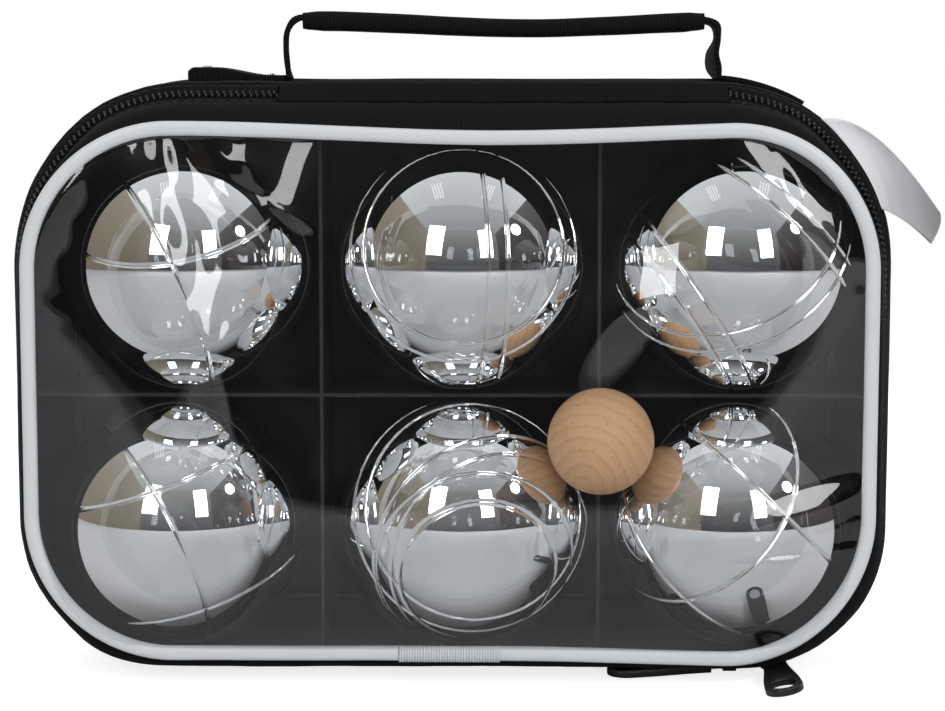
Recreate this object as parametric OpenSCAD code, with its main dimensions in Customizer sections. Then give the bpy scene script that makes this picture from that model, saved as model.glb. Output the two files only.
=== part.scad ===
// Set of six steel boules and a wooden jack in a zipped carrying case with a clear window.
// The case stands on its base, X runs to the right, Y away from the window, Z up.

/* [Boules] */
// Diameter of a boule
boule_d = 73; // [70:0.5:76]
// Thickness of the steel shell
shell_wall = 3; // [2:0.1:5]
// Depth, and half the width, of the weld between the two half shells
weld_depth = 1.6; // [0.8:0.1:1.9]
// Width of an incised line
line_width = 1.5; // [0.8:0.1:2.2]
// Distance between the two lines of a pair
line_pair_gap = 5.5; // [3:0.5:8]
// Diameter of the wooden jack
jack_d = 30; // [25:1:35]

/* [Compartments] */
// Room on each side between a boule and its divider
side_play = 2.75; // [2:0.25:3.5]
// Room between the front of the boules and the window
front_play = 0.75; // [0.5:0.25:1.5]
// How far the columns are shifted to the right of the case's middle
column_shift = 2.5; // [-3:0.5:4]
// Thickness of a divider sheet
divider_t = 1; // [0.6:0.1:1.1]
// Thickness of the board under the boules
base_board_t = 2.4; // [2.2:0.1:2.6]
// Thickness of the board behind the boules
back_board_t = 1.4; // [1:0.1:2.5]

/* [Case] */
// Room between the outer boules and the side wall at its fullest
side_room = 7.3; // [7:0.1:9]
// Room between the upper boules and the top wall at its fullest
top_room = 14.85; // [14:0.05:17]
// How much the side wall stands out past the window frame's piping on each side
side_bulge = 9.5; // [8.5:0.5:10.5]
// How much the top wall stands out past the window frame's piping
top_bulge = 11; // [10:0.5:12]
// Outer corner radius of the window frame
front_r = 41; // [38:1:44]
// Height of the window frame's lower edge over the base
front_lift = 7.5; // [7:0.5:9]
// Radius of the case's upper corners at its fullest
crest_r = 55; // [52:1:57]
// Room between a lower outer boule and the case's lower corner at its fullest, from one centre
low_corner_room = 6.5; // [5.5:0.5:7.5]
// Thickness of the padded side wall
wall_t = 1.2; // [0.8:0.1:1.3]
// Diameter of the piping
piping_d = 3.8; // [3:0.1:4]
// Thickness of the clear window
window_t = 0.5; // [0.3:0.1:0.6]
// Thickness of the back cloth
back_t = 0.8; // [0.5:0.1:1]

/* [Zip] */
// Height of the zip's middle plane over the base
zip_lift = 3.6; // [3.5:0.1:4]
// Distance from the case's middle plane to the zip, towards the window, as a share of the case's depth
zip_forward_share = 0.2375; // [0.21:0.0025:0.25]
// Width of one row of zip teeth
teeth_w = 1.65; // [1.4:0.05:1.8]
// Height of a row of zip teeth
teeth_h = 1.4; // [1.2:0.1:1.5]
// Gap between the two rows of teeth
teeth_gap = 0.6; // [0.55:0.05:0.8]
// Thickness of the zip tape
tape_t = 0.6; // [0.4:0.1:0.7]
// Visible width of one zip tape
tape_w = 2; // [1.6:0.1:2.2]
// Length of a slider
slider_l = 9.5; // [8:0.5:10]
// Width of a slider
slider_w = 6.6; // [6.4:0.1:6.8]
// Thickness of a slider plate
slider_plate_t = 0.5; // [0.4:0.05:0.6]
// Length of a pull tab
pull_l = 34; // [25:1:36]
// Width of a pull tab at its free end
pull_w = 10.5; // [8:0.5:11]
// Thickness of a pull tab
pull_t = 2.1; // [1.6:0.1:2.2]

/* [Handle] */
// Width of the handle webbing
strap_w = 25; // [20:1:26]
// Thickness of the handle webbing
strap_t = 1.6; // [1.2:0.1:1.8]
// Distance between the two risers, over their outer faces
handle_span = 125.5; // [118:0.5:126]
// How far the handle is sewn off the middle, to the right
handle_shift = 14.75; // [8:0.25:15]
// Height from the top of the case to the top of the grip sleeve
handle_h = 19.6; // [18:0.2:24]
// Thickness of the grip sleeve
grip_t = 5.5; // [5:0.1:7]
// Length of webbing sewn to the case at each end
patch_l = 27; // [20:1:28]

/* [Label] */
// Width of the sewn-in cloth label
label_w = 30; // [24:1:34]
// Length of the label outside the seam
label_l = 45; // [36:1:48]
// Thickness of the label
label_t = 0.4; // [0.3:0.1:0.6]

/* [Hidden] */
$fn = 64;

// Running clearances
seat_gap = 0.3;
face_gap = 0.05;
slide_gap = 0.1;
// How far a cutting solid runs past the solid that it cuts
cut_over = 2;
// Facets of one rounded corner of the padded walls
corner_steps = 9;
// Facets round a thin ring of weld metal
fine_steps = 240;

// Depth planes of the case
piping_r = piping_d / 2;
back_gap = 2 * face_gap;
rim_y = (window_t / 2 + front_play + boule_d + seat_gap + back_board_t + back_gap + back_t / 2) / 2;
case_d = 2 * (rim_y + piping_r);
wall_end_y = rim_y - piping_r - face_gap;
back_board_y = rim_y - back_t / 2 - back_gap;
boule_y = back_board_y - back_board_t - seat_gap - boule_d / 2;
zip_y = -zip_forward_share * case_d;

// Places of the boules
column_pitch = boule_d + divider_t + 2 * side_play;
column_x = [for (i = [-1, 0, 1]) column_shift + i * column_pitch];
drift_shares = [[-0.6, 0.3, -0.3], [0.6, 0.15, 0]];
base_top_z = wall_t + face_gap + base_board_t;
row_gap = 0.25;
row_z = [for (i = [0, 1]) base_top_z + seat_gap + boule_d / 2 + i * (boule_d + divider_t + 2 * row_gap)];
function boule_at(row, column) =
  [column_x[column] + drift_shares[row][column] * side_play, boule_y, row_z[row]];

// Size of the case at its fullest and of the window frame over its piping
crest_w = 2 * (abs(column_shift) + column_pitch + boule_d / 2 + side_room + wall_t);
crest_h = row_z[1] + boule_d / 2 + top_room + wall_t;
front_w = crest_w - 2 * side_bulge;
front_h = crest_h - top_bulge - front_lift;

// The lower corners follow the lower outer boules
crest_low_r = boule_d / 2 + low_corner_room;

// Outlines across the case: half width, bottom, top, upper and lower corner radius
rim_line = [front_w / 2 - piping_r, front_lift + piping_r, front_lift + front_h - piping_r,
            front_r - piping_r, front_r - piping_r];
function grown(line, by) = [line[0] + by, line[1] - by, line[2] + by, line[3] + by, line[4] + by];
rim_wall = grown(rim_line, wall_t / 2);
crest = [crest_w / 2, 0, crest_h, crest_r, crest_low_r];
// Share of the way from the rim to the crest that the wall has bulged at the zip
zip_bulge_share = 0.7;
function mixed(a, b, share) = a + (b - a) * share;
function wall_line(bulge_share, bottom) =
  let (line = mixed(rim_wall, crest, bulge_share)) [line[0], bottom, line[2], line[3], line[4]];
tape_line = wall_line(zip_bulge_share, zip_lift - tape_t / 2);
zip_line = grown(tape_line, -tape_t / 2);

// Zip bands across the depth
teeth_in = teeth_gap / 2;
teeth_out = teeth_in + teeth_w;
tape_end = teeth_out + tape_w;
slider_gap = 2 * slide_gap;
slider_half_h = teeth_h / 2 + slider_gap + slider_plate_t;
slider_half_w = slider_w / 2;

// The jack rests on two lower boules and leans on the window
window_back_y = -rim_y + window_t / 2;
jack_y = window_back_y + seat_gap + jack_d / 2;
jack_x = (boule_at(0, 1)[0] + boule_at(0, 2)[0]) / 2;
jack_reach = boule_d / 2 + jack_d / 2 + seat_gap;
jack_z = row_z[0] + sqrt(pow(jack_reach, 2) - pow(jack_y - boule_y, 2) - pow(jack_x - boule_at(0, 1)[0], 2));

// Incised lines of each boule: tilt, turn, offset as a share of the radius, lines side by side
line_table_shares = [
  [[[20, -70, 0.5, 1], [115, -65, 0.3, 1], [155, 130, 0.4, 1]],
   [[105, 25, 0.45, 2], [60, 60, 0.25, 2], [110, 10, 0.72, 2]],
   [[45, 100, 0.27, 1], [60, -45, 0.47, 1], [130, -130, 0.13, 1]]],
  [[[25, -20, 0.5, 1], [115, -70, 0.3, 1]],
   [[90, 100, 0.14, 2], [75, 0, 0.57, 2]],
   [[125, -85, 0.5, 2], [50, -25, 0.32, 2], [45, 110, 0.34, 2]]]
];

// Rounded outline in the plane of X and Z
module outline(line) {
  top_w = line[0] - line[3];
  low_w = line[0] - line[4];
  union() {
    translate([-line[0], line[1] + line[4]]) square([2 * line[0], line[2] - line[3] - line[1] - line[4]]);
    translate([-low_w, line[1]]) square([2 * low_w, line[4]]);
    translate([-top_w, line[2] - line[3]]) square([2 * top_w, line[3]]);
    for (side = [-1, 1]) {
      translate([side * top_w, line[2] - line[3]]) circle(r = line[3]);
      translate([side * low_w, line[1] + line[4]]) circle(r = line[4]);
    }
  }
}

// Plate across the case from one depth to another
module plate(line, y0, y1) {
  translate([0, y1, 0]) rotate([90, 0, 0]) linear_extrude(height = y1 - y0) outline(line);
}

// Frame of a constant section that follows an outline; its children are the section, X outwards
module frame(line, y) {
  top_w = line[0] - line[3];
  low_w = line[0] - line[4];
  low = line[1] + line[4];
  high = line[2] - line[3];
  translate([0, y, 0]) {
    for (side = [0, 1])
      mirror([side, 0, 0]) {
        translate([line[0], 0, low]) linear_extrude(height = high - low) children();
        translate([top_w, 0, high]) rotate([90, 0, 0]) rotate_extrude(angle = 90)
          translate([line[3], 0]) mirror([0, 1]) children();
        translate([low_w, 0, low]) rotate([90, 0, 0]) rotate_extrude(angle = -90)
          translate([line[4], 0]) mirror([0, 1]) children();
      }
    translate([-low_w, 0, line[1]]) rotate([0, 90, 0]) linear_extrude(height = 2 * low_w) children();
    translate([-top_w, 0, line[2]]) rotate([0, 90, 0]) linear_extrude(height = 2 * top_w)
      mirror([1, 0]) children();
  }
}

// Points round an outline at one depth, for the padded walls
function corner_points(x, z, r, from, y) =
  [for (i = [0:corner_steps]) let (a = from + 90 * i / corner_steps) [x + r * cos(a), y, z + r * sin(a)]];
function ring_points(line, y) =
  let (top_w = line[0] - line[3], low_w = line[0] - line[4], low = line[1] + line[4], high = line[2] - line[3])
  concat(corner_points(top_w, high, line[3], 0, y), corner_points(-top_w, high, line[3], 90, y),
         corner_points(-low_w, low, line[4], 180, y), corner_points(low_w, low, line[4], 270, y));

// Hollow wall through stations of [depth, outline], of one thickness, open at the front and the back
module padded_wall(stations) {
  count = len(stations);
  rings = [for (s = stations) ring_points(s[1], s[0]),
           for (i = [count - 1:-1:0]) ring_points(grown(stations[i][1], -wall_t), stations[i][0])];
  n = len(rings[0]);
  total = len(rings);
  points = [for (ring = rings) for (p = ring) p];
  faces = [for (k = [0:total - 1]) for (i = [0:n - 1])
             let (a = k * n + i, b = k * n + (i + 1) % n, k2 = (k + 1) % total,
                  c = k2 * n + (i + 1) % n, d = k2 * n + i)
             for (f = [[a, b, c], [a, c, d]]) f];
  polyhedron(points = points, faces = faces, convexity = 4);
}

// Stretch of the outline that the fabric hinge takes, cut out of the zip
hinge_half = handle_span / 2;
hinge_top_z = zip_line[2] + teeth_h / 2 + slide_gap + tape_t;
module hinge_stretch() {
  translate([handle_shift - hinge_half, zip_y - case_d / 2, crest_h / 2])
    cube([2 * hinge_half, case_d, crest_h]);
}

module tape(side) {
  near = side * (teeth_out + slide_gap / 2);
  far = side * tape_end;
  difference() {
    plate(tape_line, zip_y + min(near, far), zip_y + max(near, far));
    plate(grown(tape_line, -tape_t), zip_y - tape_end - cut_over, zip_y + tape_end + cut_over);
    hinge_stretch();
  }
}

module teeth(side) {
  difference() {
    frame(zip_line, zip_y + side * (teeth_in + teeth_out) / 2) square([teeth_h, teeth_w], center = true);
    hinge_stretch();
  }
}

module zip_tape_front() { color("#1b1b1d") tape(-1); }

module zip_tape_rear() { color("#1b1b1d") tape(1); }

module zip_teeth_front() { color("#2a2a2c") teeth(-1); }

module zip_teeth_rear() { color("#2a2a2c") teeth(1); }

// Stations of the padded walls: share of the depth, share of the bulge, bottom as a share of the rim's
front_shares = [[0, 0, 1], [0.3, 0.35, 0.6], [0.65, 0.6, 0.38]];
rear_shares = [[0.25, 0.86], [0.48, 0.97], [0.58, 1], [0.7, 0.88], [0.86, 0.52]];
rear_start_y = zip_y + tape_end + face_gap;
base_step = 1.8;
// Share of the bulge still to come that the wall has gained at the front of its flat base
base_bulge_share = 0.25;
base_line = wall_line(mixed(zip_bulge_share, 1, base_bulge_share), 0);
// Share of the rear wall's depth over which the case stands flat
flat_share = 0.72;

module front_gusset() {
  start = -wall_end_y;
  end = zip_y - tape_end - face_gap;
  stations = [for (s = front_shares)
                [mixed(start, end, s[0]), wall_line(s[1], s[2] * rim_wall[1])]];
  color("#18181a") padded_wall(concat(stations, [[end, tape_line]]));
}

module rear_gusset() {
  deep = wall_end_y - rear_start_y;
  low = [[rear_start_y, tape_line], [rear_start_y + base_step, base_line]];
  bulged = [for (s = rear_shares)
              [rear_start_y + s[0] * deep,
               wall_line(s[1], max(0, (s[0] - flat_share) / (1 - flat_share)) * rim_wall[1])]];
  color("#18181a") padded_wall(concat(low, bulged, [[wall_end_y, rim_wall]]));
}

// Piping round a rim, with a groove that takes the sheet sewn into it
groove_depth = 1.2;
module piping(y, groove_t) {
  difference() {
    frame(rim_line, y) circle(r = piping_r);
    sheet_plate(y, groove_t + 2 * face_gap, face_gap);
  }
}

// Sheet whose edge is held in the piping's groove
module sheet_plate(y, t, extra) {
  plate(grown(rim_line, groove_depth - piping_r + extra), y - t / 2, y + t / 2);
}

module front_piping() { color("#eef0f1") piping(-rim_y, window_t); }

module rear_piping() { color("#1d1d1f") piping(rim_y, back_t); }

module window() { color([0.8, 0.85, 0.9, 0.25]) sheet_plate(-rim_y, window_t, 0); }

module back_panel() { color("#151517") sheet_plate(rim_y, back_t, 0); }

// Woven sleeve over the joint of the front piping
sleeve_l = 28;
sleeve_t = 0.35;
module piping_sleeve() {
  color("#f2f2f0") difference() {
    translate([-sleeve_l / 2, -rim_y, rim_line[1]]) rotate([0, 90, 0])
      difference() {
        cylinder(r = piping_r + face_gap + sleeve_t, h = sleeve_l);
        translate([0, 0, -cut_over]) cylinder(r = piping_r + face_gap, h = sleeve_l + 2 * cut_over);
      }
    translate([-sleeve_l / 2 - cut_over, -rim_y - window_t / 2 - face_gap, rim_line[1]])
      cube([sleeve_l + 2 * cut_over, piping_d, piping_d]);
    translate([-sleeve_l / 2 - cut_over, -wall_end_y - face_gap, 0])
      cube([sleeve_l + 2 * cut_over, piping_d, 2 * rim_line[1]]);
  }
}

// Boards and dividers stand clear of the padded wall
board_inset = wall_t + seat_gap;
module back_board() {
  color("#303032")
    plate(grown(rim_line, -piping_r - seat_gap), back_board_y - back_board_t, back_board_y);
}

board_front_y = rear_start_y + base_step + 2 * wall_t;
board_back_y = rear_start_y + flat_share * (wall_end_y - rear_start_y) - wall_t;
board_half_w = base_line[0] - base_line[4];
module base_board() {
  color("#303032")
    translate([-board_half_w, board_front_y, wall_t + face_gap])
      cube([2 * board_half_w, board_back_y - board_front_y, base_board_t]);
}

// The dividers stand on the base board and end behind the jack
divider_front_y = max(board_front_y, jack_y + jack_d / 2 + seat_gap);
divider_rear_y = back_board_y - back_board_t - face_gap;
divider_slack = 2 * seat_gap;
fold_y = rear_start_y + flat_share * (wall_end_y - rear_start_y);
rear_top_z = rim_wall[2] - board_inset - divider_slack;
rear_low_z = rim_wall[1] + board_inset + divider_slack;
front_top_z = tape_line[2] - board_inset;
cross_z = (row_z[0] + row_z[1]) / 2;
slot_y = (divider_front_y + divider_rear_y) / 2;

// Upright divider sheet, slotted from its front edge where the cross divider passes
module upright_divider(x) {
  color("#222224") difference() {
    translate([x - divider_t / 2, 0, 0]) rotate([90, 0, 90]) linear_extrude(height = divider_t)
      polygon([[divider_front_y, base_top_z + face_gap], [board_back_y, base_top_z + face_gap],
               [divider_rear_y, rear_low_z], [divider_rear_y, rear_top_z],
               [fold_y, front_top_z], [divider_front_y, front_top_z]]);
    translate([x - divider_t, divider_front_y - cut_over, cross_z - divider_t / 2 - slide_gap])
      cube([2 * divider_t, slot_y - divider_front_y + cut_over + slide_gap, divider_t + 2 * slide_gap]);
  }
}

divider_x = [for (i = [-0.5, 0.5]) column_shift + i * column_pitch];

module divider_left() { upright_divider(divider_x[0]); }

module divider_right() { upright_divider(divider_x[1]); }

module divider_cross() {
  front_half = zip_line[0] - board_inset - seat_gap;
  rear_half = rim_wall[0] - board_inset - divider_slack;
  color("#222224") difference() {
    translate([0, 0, cross_z - divider_t / 2]) linear_extrude(height = divider_t)
      polygon([[-front_half, divider_front_y], [front_half, divider_front_y], [front_half, fold_y],
               [rear_half, divider_rear_y], [-rear_half, divider_rear_y], [-front_half, fold_y]]);
    for (x = divider_x)
      translate([x - divider_t / 2 - slide_gap, slot_y - slide_gap, cross_z - divider_t])
        cube([divider_t + 2 * slide_gap, divider_rear_y - slot_y + cut_over, 2 * divider_t]);
  }
}

// Fabric strip that hinges the lid at the top
strip_front = tape_end - 2 * seat_gap;
strip_rear = tape_end - face_gap;
module hinge_strip() {
  color("#202022")
    translate([handle_shift - hinge_half + seat_gap, zip_y - strip_front, hinge_top_z - tape_t])
      cube([2 * (hinge_half - seat_gap), strip_front + strip_rear, tape_t]);
}

// Handle: webbing sewn down at both ends, risers, and a filled sleeve as the grip
strap_y = 9;
strap_left_x = handle_shift - handle_span / 2;
strap_right_x = handle_shift + handle_span / 2;
bend_r = 4;
patch_t = 2 * strap_t;
patch_low_z = crest_h + face_gap;
grip_low_z = crest_h + handle_h - grip_t;
sleeve_wall = 0.8;
sleeve_over = 1.5;
filler_t = (grip_t - 2 * sleeve_wall - strap_t - 3 * slide_gap);
strap_low_z = grip_low_z + sleeve_wall + filler_t + 2 * slide_gap;
grip_inset = bend_r + strap_t + face_gap;

module handle_patch_left() {
  color("#1f1f21")
    translate([strap_left_x - patch_l - face_gap, strap_y - strap_w / 2, patch_low_z])
      cube([patch_l, strap_w, patch_t]);
}

// The right patch follows the rounded corner, after a flat stretch where the riser stands before it
module handle_patch_right() {
  corner_x = crest[0] - crest_r;
  start_x = strap_right_x + face_gap;
  flat_l = max(0, corner_x - start_x);
  start = acos(max(0, start_x - corner_x) / (crest_r + face_gap));
  sweep = (patch_l - flat_l) / crest_r * 180 / PI;
  color("#1f1f21") {
    translate([corner_x, strap_y - strap_w / 2, crest_h - crest_r]) rotate([-90, 0, 0])
      rotate([0, 0, -start]) rotate_extrude(angle = sweep)
        translate([crest_r + face_gap, 0]) square([patch_t, strap_w]);
    if (flat_l > 0)
      translate([start_x, strap_y - strap_w / 2, patch_low_z]) cube([flat_l, strap_w, patch_t]);
  }
}

// Riser with the bend into the grip, for the left end
module riser(x, side) {
  straight = strap_low_z - bend_r - patch_low_z;
  translate([x, strap_y - strap_w / 2, patch_low_z]) mirror([side, 0, 0]) {
    cube([strap_t, strap_w, straight]);
    translate([strap_t + bend_r, 0, straight]) rotate([-90, 0, 0]) rotate([0, 0, -180])
      rotate_extrude(angle = 90) translate([bend_r, 0]) square([strap_t, strap_w]);
  }
}

module handle_riser_left() { color("#1f1f21") riser(strap_left_x, 0); }

module handle_riser_right() { color("#1f1f21") riser(strap_right_x, 1); }

module handle_strap() {
  color("#1f1f21")
    translate([strap_left_x + grip_inset, strap_y - strap_w / 2, strap_low_z])
      cube([handle_span - 2 * grip_inset, strap_w, strap_t]);
}

// Flat tube with round edges, along X
module flat_tube(length, w, t) {
  rotate([90, 0, 90]) linear_extrude(height = length) {
    square([w - t, t], center = true);
    for (side = [-1, 1])
      translate([side * (w - t) / 2, 0]) circle(d = t);
  }
}

grip_w = strap_w + 2 * sleeve_wall + 2 * sleeve_over;
grip_l = handle_span - 2 * grip_inset - 2 * slide_gap;
module handle_sleeve() {
  color("#26262a")
    translate([handle_shift - grip_l / 2, strap_y, grip_low_z + grip_t / 2]) difference() {
      flat_tube(grip_l, grip_w, grip_t);
      translate([-cut_over, 0, 0])
        flat_tube(grip_l + 2 * cut_over, grip_w - 2 * sleeve_wall, grip_t - 2 * sleeve_wall);
    }
}

module handle_filler() {
  color("#4a4a4c")
    translate([handle_shift - grip_l / 2, strap_y - strap_w / 2 + sleeve_over, grip_low_z + sleeve_wall + slide_gap])
      cube([grip_l, strap_w - 2 * sleeve_over, filler_t]);
}

// Cloth label in the seam at the top right corner: a bent patch between its root and its free end
label_steps = [10, 4];
label_root_deg = 55;
label_seam = [tape_line[0] - tape_line[3], tape_line[2] - tape_line[3], tape_line[3]];
label_y = rear_start_y + face_gap;
label_lift = 0.45;
label_sweep = label_w / label_seam[2] * 180 / PI;
// Free end of the label's upper and lower edges, and the height of each edge's bow, as shares of its length
label_end_shares = [[0.77, 0.05, -0.53], [0.42, 0.62, -0.26]];
label_bow_shares = [[-0.03, 0, 0.21], [0.1, 0.1, 0.1]];
function label_root(s) =
  let (a = label_root_deg - s * label_sweep, r = label_seam[2] + label_lift)
  [label_seam[0] + r * cos(a), label_y, label_seam[1] + r * sin(a)];
function label_point(t, s) =
  label_root(s) + label_l * (t * mixed(label_end_shares[0], label_end_shares[1], s)
  + 4 * t * (1 - t) * mixed(label_bow_shares[0], label_bow_shares[1], s));
// Directions along the label and across it, and the one that stands on both
function label_along(t, s) =
  mixed(label_end_shares[0], label_end_shares[1], s)
  + 4 * (1 - 2 * t) * mixed(label_bow_shares[0], label_bow_shares[1], s);
function label_across(t, s) =
  let (a = label_root_deg - s * label_sweep)
  label_w * [sin(a), 0, -cos(a)] + label_l * (t * (label_end_shares[1] - label_end_shares[0])
  + 4 * t * (1 - t) * (label_bow_shares[1] - label_bow_shares[0]));
function label_normal(t, s) = let (n = cross(label_along(t, s), label_across(t, s))) n / norm(n);

module care_label() {
  nt = label_steps[0];
  ns = label_steps[1];
  cols = ns + 1;
  layer = (nt + 1) * cols;
  points = [for (side = [0, 1]) for (i = [0:nt]) for (j = [0:ns])
              label_point(i / nt, j / ns) + (side - 1 / 2) * label_t * label_normal(i / nt, j / ns)];
  skin = [for (side = [0, 1]) for (i = [0:nt - 1]) for (j = [0:ns - 1])
            let (a = side * layer + i * cols + j, b = a + 1, c = a + cols + 1, d = a + cols)
            for (f = side == 0 ? [[a, b, c], [a, c, d]] : [[a, c, b], [a, d, c]]) f];
  rim = concat([for (j = [0:ns]) j], [for (i = [1:nt]) i * cols + ns],
               [for (j = [ns - 1:-1:0]) nt * cols + j], [for (i = [nt - 1:-1:1]) i * cols]);
  edge = [for (k = [0:len(rim) - 1])
            let (a = rim[k], b = rim[(k + 1) % len(rim)])
            for (f = [[b, a, a + layer], [b, a + layer, b + layer]]) f];
  color("#f1f2f3") polyhedron(points = points, faces = concat(skin, edge), convexity = 4);
}

// Slider: two plates joined by a thin web between the rows of teeth, with a bridge for the pull.
// It is built at the zip line, X along the zip and Z into the case.
web_t = teeth_gap - 4 * face_gap;
bridge_d = 0.8;
bridge_half = 1.6;
ring_wire_d = 0.9;
bridge_gap = 2 * slide_gap;
bridge_z = -(slider_half_h + 2 * bridge_gap + ring_wire_d + bridge_d / 2);
ring_z = -(slider_half_h + bridge_gap + ring_wire_d / 2);
lip_l = 0.7;
module slider() {
  lip_h = slider_half_h - tape_t / 2 - slider_gap;
  plate_z = teeth_h / 2 + slider_gap;
  for (side = [0, 1])
    mirror([0, 0, side]) {
      translate([-slider_l / 2, -slider_half_w, plate_z]) cube([slider_l, slider_w, slider_plate_t]);
      translate([-slider_l / 2, slider_half_w - lip_l, tape_t / 2 + slider_gap]) cube([slider_l, lip_l, lip_h]);
    }
  translate([-slider_l / 4, -web_t / 2, -plate_z - slider_plate_t / 2])
    cube([slider_l / 2, web_t, 2 * plate_z + slider_plate_t]);
  for (x = [-bridge_half, bridge_half])
    translate([x, 0, bridge_z]) cylinder(d = bridge_d, h = -bridge_z - plate_z - slider_plate_t / 2);
  translate([-bridge_half, 0, bridge_z]) rotate([0, 90, 0]) cylinder(d = bridge_d, h = 2 * bridge_half);
  for (x = [-bridge_half, bridge_half])
    translate([x, 0, bridge_z]) sphere(d = bridge_d);
}

// Places of the two sliders: one on the straight bottom, one part of the way round the corner
arc_r = zip_line[4];
arc_x = zip_line[0] - arc_r;
arc_z = zip_line[1] + arc_r;
slider_left_x = arc_x - slider_l / 4;
slider_right_deg = 11;
// A straight slider on the round stretch stands in by half the rise of the arc under it
arc_rise = pow(slider_l / 2, 2) / (4 * arc_r);

module slider_left() {
  color("#2c2c2e") translate([slider_left_x, zip_y, zip_line[1]]) slider();
}

module at_right_slider() {
  translate([arc_x, zip_y, arc_z]) rotate([0, -slider_right_deg, 0]) translate([0, 0, arc_rise - arc_r])
    children();
}

module slider_right() { color("#2c2c2e") at_right_slider() slider(); }

// Pull tab that hangs from a wire ring; the ring lies round the origin and the tab points along X
ring_r = 1.3;
neck_w = 3;
neck_clear = 1.2;
neck_l = slider_half_w + neck_clear;
pull_root_w = 6;
pull_hole_l = 9;
pull_hole_w = 6.5;
pull_rim = 2;
module pull() {
  body_l = pull_l - neck_l;
  rotate_extrude() translate([ring_r + ring_wire_d / 2, 0]) circle(d = ring_wire_d);
  translate([ring_r + ring_wire_d / 2, -neck_w / 2, -ring_wire_d / 2])
    cube([neck_l - ring_r, neck_w, ring_wire_d]);
  difference() {
    translate([neck_l, 0, -pull_t / 2]) linear_extrude(height = pull_t) union() {
      polygon([[0, -pull_root_w / 2], [body_l - pull_w / 2, -pull_w / 2], [body_l - pull_w / 2, pull_w / 2],
               [0, pull_root_w / 2]]);
      translate([body_l - pull_w / 2, 0]) circle(d = pull_w);
    }
    translate([pull_l - pull_rim - pull_hole_w / 2, 0, -pull_t]) cylinder(d = pull_hole_w, h = 2 * pull_t);
    translate([pull_l - pull_rim - pull_hole_l + pull_hole_w / 2, 0, -pull_t])
      cylinder(d = pull_hole_w, h = 2 * pull_t);
    translate([pull_l - pull_rim - pull_hole_l + pull_hole_w / 2, -pull_hole_w / 2, -pull_t])
      cube([pull_hole_l - pull_hole_w, pull_hole_w, 2 * pull_t]);
  }
}

ring_reach = ring_r + ring_wire_d / 2;
pull_left_deg = 192;
module pull_left() {
  color("#141416") translate([slider_left_x - ring_reach, zip_y, zip_line[1] + ring_z])
    rotate([0, 0, pull_left_deg]) pull();
}

module pull_right() {
  color("#141416") at_right_slider() translate([ring_reach, 0, ring_z]) rotate([0, 0, -90]) pull();
}

// Boules
shell_r = boule_d / 2 - shell_wall;
line_depth = line_width / 2;
module line_cut(tilt, turn, offset) {
  floor_r = sqrt(pow(boule_d / 2 - line_depth, 2) - pow(offset, 2));
  rotate([tilt, 0, turn]) translate([0, 0, offset - line_width / 2]) difference() {
    cylinder(r = boule_d / 2 + cut_over, h = line_width);
    translate([0, 0, -cut_over]) cylinder(r = floor_r, h = line_width + 2 * cut_over);
  }
}

module incised_lines(lines) {
  for (line = lines)
    for (k = [0:line[3] - 1])
      line_cut(line[0], line[1], line[2] * boule_d / 2 + (k - (line[3] - 1) / 2) * line_pair_gap);
}

// Ring of weld metal in the rebate where the half shells meet
module weld_ring(gap) {
  half_w = weld_depth - gap;
  rotate([90, 0, 0]) translate([0, 0, -half_w]) difference() {
    cylinder(r = boule_d / 2 + (gap > 0 ? 0 : cut_over), h = 2 * half_w);
    translate([0, 0, -cut_over]) cylinder(r = boule_d / 2 - weld_depth + gap, h = 2 * half_w + 2 * cut_over);
  }
}

module boule_shell(row, column, side) {
  color("#d4d7da") translate(boule_at(row, column)) difference() {
    sphere(d = boule_d);
    sphere(r = shell_r);
    translate([-boule_d, side > 0 ? -2 * boule_d : 0, -boule_d]) cube(2 * boule_d);
    weld_ring(0);
    incised_lines(line_table_shares[row][column]);
  }
}

module boule_weld(row, column) {
  color("#c2c5c8") translate(boule_at(row, column)) difference() {
    intersection() {
      weld_ring(face_gap, $fn = fine_steps);
      sphere(d = boule_d, $fn = fine_steps);
    }
    incised_lines(line_table_shares[row][column], $fn = fine_steps);
  }
}

module boule_core(row, column) {
  color("#8b8378") translate(boule_at(row, column)) sphere(r = shell_r - face_gap);
}

module jack() { color("#e0b487") translate([jack_x, jack_y, jack_z]) sphere(d = jack_d); }

module boule(name, row, column) {
  boule_shell(row, column, -1);
  boule_shell(row, column, 1);
  boule_weld(row, column);
  boule_core(row, column);
}

back_panel();
back_board();
base_board();
rear_gusset();
rear_piping();
zip_tape_rear();
zip_teeth_rear();
hinge_strip();
divider_left();
divider_right();
divider_cross();
handle_patch_left();
handle_patch_right();
handle_riser_left();
handle_riser_right();
handle_strap();
handle_sleeve();
handle_filler();
care_label();
window();
front_piping();
piping_sleeve();
front_gusset();
zip_tape_front();
zip_teeth_front();
slider_left();
slider_right();
pull_left();
pull_right();
jack();
boule("boule_bottom_left", 0, 0);
boule("boule_bottom_middle", 0, 1);
boule("boule_bottom_right", 0, 2);
boule("boule_top_left", 1, 0);
boule("boule_top_middle", 1, 1);
boule("boule_top_right", 1, 2);
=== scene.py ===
"""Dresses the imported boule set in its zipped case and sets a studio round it. Sizes are in millimetres."""

import logging
import math
from collections.abc import Callable, Iterable, Sequence
from dataclasses import dataclass, field
from enum import Enum
from functools import cache

import bmesh
import bpy
from mathutils import Matrix, Vector, noise


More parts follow.
